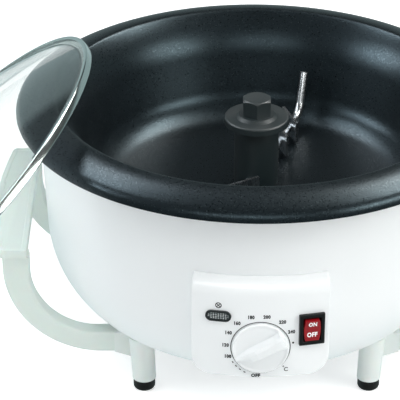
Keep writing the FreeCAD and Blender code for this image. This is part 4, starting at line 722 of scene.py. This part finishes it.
class ROASTER_OT_finishes(RoasterOperator, bpy.types.Operator):
    """Make the finishes and give them to the solids whose shape stays"""
    bl_idname = "roaster.finishes"
    bl_label = "Finishes"

    def execute(self, context):
        make_finishes(context.scene.roaster_colours)
        for finish, names in CAD_FINISHES.items():
            for name in names:
                mesh = NODES[name].data
                mesh.materials.clear()
                mesh.materials.append(FINISHES[finish])
        NODES["lid_glass"].visible_shadow = False
        return {"FINISHED"}


class ROASTER_OT_pan(RoasterOperator, bpy.types.Operator):
    """Build the cast pan, whose wall swells inwards a little below its lip"""
    bl_idname = "roaster.pan"
    bl_label = "Roasting pan"

    def execute(self, context):
        # Points are (radius, height). The section runs from the spindle post's foot out along the
        # underside, over the lip and back down the inside to the post's top.
        post_inside, post_outside, post_top = 5.5, 9.0, 118.0
        underside, floor = 95.0, 98.0
        knuckle = (76.11, 118.0)            # centre of the bend between floor and wall
        swell = (148.315, 122.385)          # centre of the wall's swell
        outline = [
            (post_inside, underside), *arc(*knuckle, 23.0, -90, -14, 10),
            *arc(*swell, 46.0, 166, 140, 12), (130.0, 152.0), (133.6, 147.0),
            *arc(128.5, 147.0, 7.5, 0, 58.71, 8), *arc(116.0, 126.43, 31.57, 61, 90, 10),
            *arc(116.0, 154.7, 3.3, 100, 135, 4), *arc(*swell, 49.0, 137, 166, 16),
            *arc(*knuckle, 20.0, -14, -90, 12), (post_outside, floor), (post_outside, post_top),
            (post_inside, post_top)]
        middle, steps = 70.0, 256
        pan = swept("roasting_pan_casting", outline, middle, steps, "nonstick")
        bore, outer, low, high = 2.0, 5.0, 86.0, 95.5
        boss = lathe("pan_boss", [(bore, low), (outer, low), (outer, high), (bore, high)], 32)
        grow(boss, ring_tree(), "nonstick", Count=3, Place=(TIE_RING * MM, 0.0, 0.0), First=0.0,
             Step=2 * pi / 3)
        pan = join("roasting_pan_casting", [pan, boss])
        hand_over(pan, "base", "nonstick", ("roasting_pan",), 35.0)
        return {"FINISHED"}


class ROASTER_OT_grips(RoasterOperator, bpy.types.Operator):
    """Build the two grips, each with an inlay sunk inside a raised rim"""
    bl_idname = "roaster.grips"
    bl_label = "Grips"

    def execute(self, context):
        sizes = context.scene.roaster_sizes
        inner, outer, half, corner = 129.5, 144.6, 62.496, 8.0
        low, high = 83.5, 89.1
        bow = 5.6                           # of the outer edge, over the grip's length
        shoulder = outer + 0.6              # where the corners meet the bowed edge
        curve = (half * half + bow * bow) / (2 * bow)
        reach = degrees(asin((half - corner) / curve))
        arch = arc(outer + bow - curve, 0.0, curve, -reach, reach, 48)
        outline = rounded([(inner, -half), (shoulder, -half, corner), *arch,
                           (shoulder, half, corner), (inner, half)], 10)
        right = slab("right_grip_moulding", outline, low, high)
        work = bmesh.new()
        work.from_mesh(right.data)
        top = [max(work.faces, key=lambda face: face.calc_center_median().z)]
        deep = sizes.grip_recess
        slope = 0.35 * deep                 # how far the recess's side leans in
        for step in ({"thickness": sizes.grip_rim}, {"thickness": slope, "depth": -deep}):
            bmesh.ops.inset_region(work, faces=top, use_even_offset=True, **step)
        work.to_mesh(right.data)
        work.free()
        bevel(right, sizes.grip_rounding, 40.0)
        left = mirrored(right, "left_grip_moulding")
        for item, node in ((right, "right_grip"), (left, "left_grip")):
            hand_over(item, "base", "polypropylene", (node,), 24.0)
        return {"FINISHED"}


class ROASTER_OT_knob(RoasterOperator, bpy.types.Operator):
    """Build the temperature knob, a thin disc with a tapered finger bar"""
    bl_idname = "roaster.knob"
    bl_label = "Temperature knob"

    def execute(self, context):
        # Levels are from the pan's axis, out through the panel.
        back, inset, crest, radius = 129.4, 130.35, 130.7, 15.4
        disc = lathe("knob_disc", [
            (0.0, back), (radius, back), (radius, 130.2), (15.0, crest), (14.1, crest),
            (13.5, inset), (0.0, inset)], 96)
        bar_back, foot_level, bar_reach = 129.9, 130.9, 15.15
        shoulder, lean = 1.2, 0.78          # the shoulder's drop below the top, and its width
        loops = []
        # Along the bar, from its narrow end: half widths of foot and top, and the top's level.
        for along, foot, top, level in (
                (-15.1, 1.0, 0.4, 131.6), (-13.0, 2.0, 0.7, 132.7), (-10.0, 2.8, 0.9, 134.2),
                (-6.0, 3.4, 1.1, 135.8), (-2.0, 3.6, 1.3, 136.5), (5.0, 3.6, 1.5, 136.6),
                (10.0, 3.8, 1.9, 136.5), (13.0, 4.4, 2.5, 136.4), (15.1, 5.6, 3.4, 136.0)):
            side = top + lean * (foot - top)
            half = [(foot, bar_back), (foot, foot_level), (side, level - shoulder), (top, level)]
            ring = [(-t, w) for t, w in half] + half[::-1]
            loops.append([(copysign(min(abs(along), sqrt(bar_reach ** 2 - t * t)), along), t, w)
                          for t, w in ring])
        knob = join("temperature_knob_moulding", [disc, loft("knob_bar", loops)])
        fuse = knob.modifiers.new("Fused", "REMESH")
        fuse.mode = "VOXEL"
        fuse.voxel_size = 0.25 * MM
        smooth = knob.modifiers.new("Soft edges", "SMOOTH")
        smooth.factor = 0.5
        smooth.iterations = 5
        settle(knob)
        place(knob, facing(0.0, KNOB_LEVEL) @ Matrix.Rotation(radians(KNOB_TURN), 4, "Z"))
        hand_over(knob, "knob", "abs", ("temperature_knob",), 75.0)
        return {"FINISHED"}


class ROASTER_OT_switch(RoasterOperator, bpy.types.Operator):
    """Build the switch's housing, its rocker and the words on the rocker"""
    bl_idname = "roaster.switch"
    bl_label = "Rocker switch"

    def execute(self, context):
        # From the housing's back to the bezel's face and down into its well: width, height,
        # corner radius and level out from the pan's axis.
        loops = [raised(block(width, height, corner), level) for width, height, corner, level in (
            (12.4, 16.6, 0.6, BEZEL_BACK - 19.6), (12.4, 16.6, 0.6, BEZEL_BACK),
            (14.0, 18.8, 0.4, BEZEL_BACK), (14.0, 18.8, 0.4, BEZEL_FACE - 0.4),
            (13.7, 18.5, 0.4, BEZEL_FACE - 0.1), (13.3, 18.1, 0.4, BEZEL_FACE),
            (10.4, 14.8, 0.5, BEZEL_FACE), (10.0, 14.4, 0.4, BEZEL_FACE - 0.12),
            (9.8, 14.2, 0.4, BEZEL_FACE - 0.4), (9.8, 14.2, 0.4, BEZEL_FACE - 10.6))]
        spot = facing(SWITCH_TURN, SWITCH_LEVEL)
        housing = place(loft("switch_housing_moulding", loops), spot)
        hand_over(housing, "base", "black", ("switch_housing",), 40.0)

        rocker = plain_copy("rocker", "rocker_moulding")
        bevel(rocker, 0.32 * MM, 28.0)
        hand_over(rocker, "rocker", "red", ("rocker",), 30.0)

        # The rocker's face has two halves that rise from its middle.
        waist, slope = 2.5, atan2(0.7, 6.5)
        ink_back, ink_front = -0.02, 0.05
        legends = []
        for words, side, up, width in (("ON", 1, 4.2, 0.76), ("OFF", -1, 2.7, 0.82)):
            legend = lettering(words, 2.65, 0.17, 1.1, width)
            for vertex in legend.data.vertices:
                vertex.co.z = (ink_front if vertex.co.z > PLATE / 2 * MM else ink_back) * MM
            rise = Vector((0.0, side * up, waist + tan(slope) * up)) * MM
            legends.append(place(legend, Matrix.Translation(rise)
                                 @ Matrix.Rotation(side * slope, 4, "X")))
        pivot = Matrix.Translation((0.0, 0.0, ROCKER_PIVOT * MM))
        legend = place(join("rocker_legend", legends),
                       spot @ pivot @ Matrix.Rotation(radians(ROCKER_TILT), 4, "X"))
        hand_over(legend, "rocker", "legend")
        return {"FINISHED"}


class ROASTER_OT_lamp(RoasterOperator, bpy.types.Operator):
    """Build the lamp's lens with its lattice of prisms"""
    bl_idname = "roaster.lamp"
    bl_label = "Indicator lamp"

    def execute(self, context):
        sizes = context.scene.roaster_sizes
        width, height = 11.86, 4.26
        face = BEZEL_BACK + LAMP_STAND - sizes.prism_height / MM
        end = height / 2
        ends = arc(width / 2 - end, 0.0, end, -90, 90, 10) \
            + arc(end - width / 2, 0.0, end, 90, 270, 10)
        lens = slab("lamp_lens_plate", ends, BEZEL_BACK - 1.5, face)

        # The outer prisms' middles lie inside the lens's edge by these shares of its size. A prism
        # fills its pitch but for a small gap.
        across, up = 0.9 * width * MM, 0.72 * height * MM
        round_end, filled = 0.56 * up, 0.96
        # The prisms' paler finish is a painted highlight on the lens's own styrene.
        prisms = grow(piece("lamp_lens_prisms", [], []), prism_tree(), "prisms",
                      Width=across, Height=up, Columns=9, Rows=4,
                      Slot_middle=((across - up) / 2, 0.0, 0.0), Slot_radius=round_end,
                      Radius=filled * sizes.prism_pitch / 2, Relief=sizes.prism_height)
        sink = 0.01                         # of the prisms into the plate
        place(prisms, Matrix.Translation((0.0, 0.0, (face - sink) * MM)))
        spot = facing(LAMP_TURN, LAMP_LEVEL)
        hand_over(place(lens, spot), "base", "lens", ("lamp_lens",), 20.0)
        hand_over(place(prisms, spot), "base", "prisms", (), 20.0)
        return {"FINISHED"}


class ROASTER_OT_dial(RoasterOperator, bpy.types.Operator):
    """Print the dial's figures and marks and the lamp's sign on the panel, and paint a dark ring
    round the knob as the shadow of its gap
    """
    bl_idname = "roaster.dial"
    bl_label = "Printed dial"

    def execute(self, context):
        sizes = context.scene.roaster_sizes
        high, thick = sizes.print_size / MM, sizes.print_thickness / MM
        ring = sizes.ring_radius / MM
        inner_ring = ring - 1.9             # where the dashes and the full mark stand
        parts = []

        def put(item, turn, radius, up=0.0):
            """Print a plate at a turn in degrees and a radius about the knob's axis."""
            angle = radians(turn)
            parts.append(print_on_panel(item, radius * cos(angle),
                                        KNOB_LEVEL + radius * sin(angle) + up, thick))

        # Each figure, its turn and how far it stands out from the ring.
        for words, turn, out in (
                ("100", 199.3, -1.18), ("120", 177.1, -0.85), ("140", 152.8, -0.3),
                ("160", 129.8, -0.01), ("180", 105.1, 0.07), ("200", 80.5, -0.09),
                ("220", 53.7, 0.04), ("240", 29.6, -0.52)):
            put(lettering(words, high, 0.165, 1.14, 0.82), turn, ring + out)
        put(lettering("OFF", 1.08 * high, 0.18, 1.12, 0.85), 262.3, ring - 1.8)
        put(lettering("C", 1.24 * high, 0.05), -46.5, ring + 0.6, 0.6)
        put(flat_ring("degree_mark", 0.34, 0.24, 16), -48, ring - 0.9, 1.7)
        put(flat_ring("full_mark", 0.3, 0.56, 20), 8.0, inner_ring)
        # A dark ring round the knob, in ink: a painted shadow of the gap between knob and panel.
        put(flat_ring("dial_line", sizes.line_radius / MM, sizes.line_width / MM, 144), 0, 0.0)
        dash = slab("dial_dashes", block(0.55, 1.2, 0.1, 1), 0.0, PLATE)
        grow(dash, ring_tree(), "ink", Count=4, Place=(inner_ring * MM, 0.0, 0.0),
             First=radians(213), Step=radians(9.5))
        put(dash, 0, 0.0)

        # The lamp's sign is a ring with a cross in it.
        sign = [flat_ring("lamp_sign_ring", 1.5, 0.5, 48)]
        for turn in (45, 135):
            stroke = slab("lamp_sign_stroke", block(2.7, 0.46, 0.05, 1), 0.0, PLATE)
            sign.append(place(stroke, Matrix.Rotation(radians(turn), 4, "Z")))
        across, above = radians(LAMP_TURN) * PANEL_RADIUS, 6.3
        parts += [print_on_panel(item, across, LAMP_LEVEL + above, thick) for item in sign]
        hand_over(join("dial_print", parts), "base", "ink")
        return {"FINISHED"}


class ROASTER_OT_lid(RoasterOperator, bpy.types.Operator):
    """Build the lid's rolled band and its turned knob"""
    bl_idname = "roaster.lid"
    bl_label = "Lid band and knob"

    def execute(self, context):
        # Points are (radius, height) about the lid's axis, from the plane of its edge.
        soft = context.scene.roaster_sizes.band_rounding / MM
        inner, outer, height, sheet = 125.0, 132.0, 4.8, 0.6
        band = swept("lid_band_rolled", rounded([
            (inner, 0.0, soft), (outer, 0.0, soft), (outer, height, 0.9 * soft),
            (129.6, height, 0.25), (129.6, 4.25, 0.1), (131.35, 4.2), (131.35, sheet),
            (inner, sheet, 0.25)]), 128.5, 256, "polished")
        hand_over(place(band, on_lid()), "lid", "polished", ("lid_band",), 50.0)

        foot, waist, grip, bore, base, crown = 15.0, 9.0, 19.0, 1.7, 28.2, 55.2
        knob = lathe("lid_knob_moulding", rounded([
            (bore, base), (foot, base, 0.6), (foot, base + 3.0, 1.4), (waist, base + 8.0, 5.0),
            (waist, base + 14.0, 6.0), (grip, base + 21.0, 3.0), (grip, crown - 3.4, 4.5),
            (14.0, crown + 0.2, 9.0), (6.5, crown + 0.6, 1.5), (5.6, crown, 1.0), (0.0, crown),
            (0.0, base + 12.0), (bore, base + 12.0)], 8), 96)
        hand_over(place(knob, on_lid()), "lid", "black", ("lid_knob",), 40.0)
        return {"FINISHED"}


# Screws by CAD node: body, how many, radius of their ring, angle of the first, level of the seat,
# whether they point up, radius of the head and of the shank, and the shank's length.
SCREWS = {
    "base_screws": ("base", 6, 80.2, 0, 28.3, True, 3.0, 1.5, 8.2),
    "leg_screws": ("base", 4, 86.261, 45, 32.1, False, 3.0, 1.5, 13.6),
    "tie_screws": ("base", 3, TIE_RING, 0, 28.3, True, 3.8, 2.0, 65.7),
    "bracket_screws": ("base", 2, 35.0, 0, 31.1, False, 3.0, 1.5, 1.6),
    "motor_screws": ("base", 2, 17.0, 0, 59.6, False, 3.0, 1.5, 7.6),
    "lid_screw": ("lid", 1, 0.0, 0, 22.85, True, 3.2, 1.5, 16.3),
}
SCREW_CROWN = 2.0       # height of a screw's head


class ROASTER_OT_screws(RoasterOperator, bpy.types.Operator):
    """Build every screw with a domed head and a cross recess"""
    bl_idname = "roaster.screws"
    bl_label = "Screws"

    def execute(self, context):
        depth = context.scene.roaster_sizes.screw_recess / MM
        tree = ring_tree()
        for node, (body, count, ring, first, seat, upward, head, shank, long) in SCREWS.items():
            screw = lathe("screw", rounded([
                (0.0, -long), (shank - 0.35, -long), (shank, 0.5 - long), (shank, 0.0),
                (head, 0.0, 0.15), (head, 0.7, 0.5), (0.7 * head, 1.7, 1.6),
                (0.0, SCREW_CROWN)], 4), 32)
            # The cross recess tapers down to a third of its width.
            wide, thin, taper = 0.5 * head, 0.13 * head, 0.35
            arm = [(thin, thin), (thin, wide), (-thin, wide)]
            cross = [(x * c - y * s, x * s + y * c)
                     for c, s in ((1, 0), (0, 1), (-1, 0), (0, -1)) for x, y in arm]
            cut(screw, loft("bit", [
                raised([(taper * x, taper * y) for x, y in cross], SCREW_CROWN - depth),
                raised(cross, SCREW_CROWN + 0.4)]))
            screw.name = f"{node}_crosshead"
            if upward:
                place(screw, Matrix.Rotation(pi, 4, "X"))
            grow(screw, tree, "screw", Count=count, Place=(ring * MM, 0.0, seat * MM),
                 First=radians(first), Step=2 * pi / count)
            if body == "lid":
                place(screw, on_lid())
            hand_over(screw, body, "screw", (node,), 35.0)
        return {"FINISHED"}


# --- Stage ---------------------------------------------------------------------------------------

# Fills light the surfaces; strips are seen only as highlights on the coated pan. A row gives the
# light's place and size in metres, its energy in watts, its tint and whether it is a strip.
LIGHTS = {
    "left fill": ((-1.2, -0.4, 0.8), (0.9, 0.9), 2.4, "#FAFCFF", False),
    "right fill": ((1.2, -0.6, 0.9), (0.9, 0.9), 10.0, "#FFFEFB", False),
    "top fill": ((0.0, -0.6, 1.35), (0.8, 0.8), 8.0, "#FFFFFF", False),
    "left strip": ((-0.75, 0.55, 1.35), (1.2, 0.4), 17.0, "#F6FAFF", True),
    "right strip": ((0.8, 0.45, 1.35), (1.3, 0.45), 30.0, "#FFFEFB", True),
    "low left strip": ((-0.9, 0.0, 0.5), (0.6, 0.3), 7.5, "#F6FAFF", True),
    "low right strip": ((0.75, -0.48, 0.46), (0.6, 0.3), 6.5, "#FFFEFB", True),
    "front strip": ((-0.1, -1.0, 0.6), (0.9, 0.25), 3.4, "#FFFFFF", True),
}
LIT_POINT = Vector((0.0, 0.0, 0.08))
CAMERA_PLACE = (-0.0324, -1.1252, 0.6984)


def studio_floor(half):
    """A square floor of painted board, matt and near white, with a cloudy roller texture. It glows
    faintly in view, as an overexposed backdrop does, and not onto the roaster."""
    floor = piece("floor", [(-half, -half, 0.0), (half, -half, 0.0), (half, half, 0.0),
                            (-half, half, 0.0)], [(0, 1, 2, 3)])
    paint = Finish("Matt studio paint", linear("#F3F4F4"), 0.7,
                   {"Emission Color": linear("#FFFFFF")})
    ray = add(paint.tree, "ShaderNodeLightPath").outputs["Is Diffuse Ray"]
    in_view, onto_roaster = 0.6, 0.03
    paint.drive({
        "Base Color": paint.mottle(220.0, 3.0, linear("#F1F2F2"), linear("#F6F6F6")),
        "Normal": paint.waves(2.5, 3.0, 0.02, 0.4),
        "Emission Strength": add(paint.tree, "ShaderNodeMapRange", {
            "Value": ray, "To Min": in_view, "To Max": onto_roaster})})
    floor.data.materials.append(paint.material)
    floor.visible_glossy = False


def studio_world():
    """A bright room for the surfaces. Reflections see a white backdrop low behind the roaster, a
    dim room in front of it and black flags overhead."""
    world = bpy.data.worlds.new("studio")
    world.use_nodes = True
    tree = world.node_tree
    ways = add(tree, "ShaderNodeSeparateXYZ", {
        0: add(tree, "ShaderNodeTexCoord").outputs["Generated"]}).outputs
    # The way of the view, from where to where along it, and the strength there.
    glow, level, low_flag, high_flag = [
        add(tree, "ShaderNodeMapRange", {"Value": ways[way], "From Min": start, "From Max": end,
                                         "To Min": low, "To Max": high})
        for way, start, end, low, high in (
            ("Z", -0.3, 1.0, 0.54, 0.5), ("Y", -0.3, 0.3, 0.25, 0.82),
            ("Z", -0.4, 0.0, 1.0, 0.62), ("Z", 0.3, 0.36, 1.0, 0.1))]
    room = tree.nodes["Background"]
    feed(tree, room.inputs["Color"], linear("#F7FAFB"))
    feed(tree, room.inputs["Strength"], glow)
    for flag in (low_flag, high_flag):
        level = add(tree, "ShaderNodeMath", {0: level, 1: flag}, operation="MULTIPLY")
    flagged = add(tree, "ShaderNodeBackground", {"Color": linear("#CFE8EA"), "Strength": level})
    seen = add(tree, "ShaderNodeMixShader", {
        0: add(tree, "ShaderNodeLightPath").outputs["Is Glossy Ray"], 1: room, 2: flagged})
    feed(tree, tree.nodes["World Output"].inputs["Surface"], seen)
    return world


class ROASTER_OT_stage(RoasterOperator, bpy.types.Operator):
    """Set up the pale floor, the soft light and the camera"""
    bl_idname = "roaster.stage"
    bl_label = "Stage"

    def execute(self, context):
        scene = context.scene
        stage = scene.roaster_stage
        studio_floor(stage.floor_half / MM)
        for name, (where, size, energy, tint, strip) in LIGHTS.items():
            data = bpy.data.lights.new(name, "AREA")
            data.shape = "ELLIPSE"
            data.size, data.size_y = size
            data.energy = energy
            data.color = linear(tint)[:3]
            lamp = linked(name, data)
            lamp.location = where
            lamp.rotation_euler = (LIT_POINT - lamp.location).to_track_quat("-Z", "Y").to_euler()
            lamp.visible_diffuse = not strip
            lamp.visible_transmission = not strip
            lamp.visible_glossy = strip
        scene.world = studio_world()

        data = bpy.data.cameras.new("camera")
        data.lens = stage.focal
        data.sensor_width = 36.0
        data.clip_end = 20.0
        camera = linked("camera", data)
        camera.location = CAMERA_PLACE
        camera.rotation_euler = (pi / 2 - stage.tilt, 0.0, 0.0)
        scene.camera = camera
        scene.view_settings.view_transform = "Standard"
        return {"FINISHED"}


# --- Panel and registration ----------------------------------------------------------------------

STEPS = (ROASTER_OT_finishes, ROASTER_OT_pan, ROASTER_OT_grips, ROASTER_OT_knob, ROASTER_OT_switch,
         ROASTER_OT_lamp, ROASTER_OT_dial, ROASTER_OT_lid, ROASTER_OT_screws, ROASTER_OT_stage)


class ROASTER_PT_panel(bpy.types.Panel):
    """Sizes, colours and steps of the roaster"""
    bl_idname = "ROASTER_PT_panel"
    bl_label = "Coffee roaster"
    bl_space_type = "VIEW_3D"
    bl_region_type = "UI"
    bl_category = "Roaster"

    def draw(self, context):
        for title, settings in (("Sizes", context.scene.roaster_sizes),
                                ("Colours", context.scene.roaster_colours),
                                ("Stage", context.scene.roaster_stage)):
            box = self.layout.box()
            box.label(text=title)
            for key in type(settings).__annotations__:
                box.prop(settings, key)
        column = self.layout.column(align=True)
        for step in STEPS:
            column.operator(step.bl_idname)


GROUPS = {"roaster_sizes": RoasterSizes, "roaster_colours": RoasterColours,
          "roaster_stage": RoasterStage}


def register():
    """Add the roaster's settings, steps and panel."""
    for group in GROUPS.values():
        bpy.utils.register_class(group)
    for key, group in GROUPS.items():
        setattr(bpy.types.Scene, key, PointerProperty(type=group))
    for step in STEPS:
        bpy.utils.register_class(step)
    bpy.utils.register_class(ROASTER_PT_panel)


def unregister():
    """Take the panel, steps and settings out again."""
    bpy.utils.unregister_class(ROASTER_PT_panel)
    for step in reversed(STEPS):
        bpy.utils.unregister_class(step)
    for key in GROUPS:
        delattr(bpy.types.Scene, key)
    for group in reversed(list(GROUPS.values())):
        bpy.utils.unregister_class(group)


def main():
    """Run every step in order."""
    register()
    for step in STEPS:
        area, verb = step.bl_idname.split(".")
        getattr(getattr(bpy.ops, area), verb)()


if __name__ == "__main__":
    main()
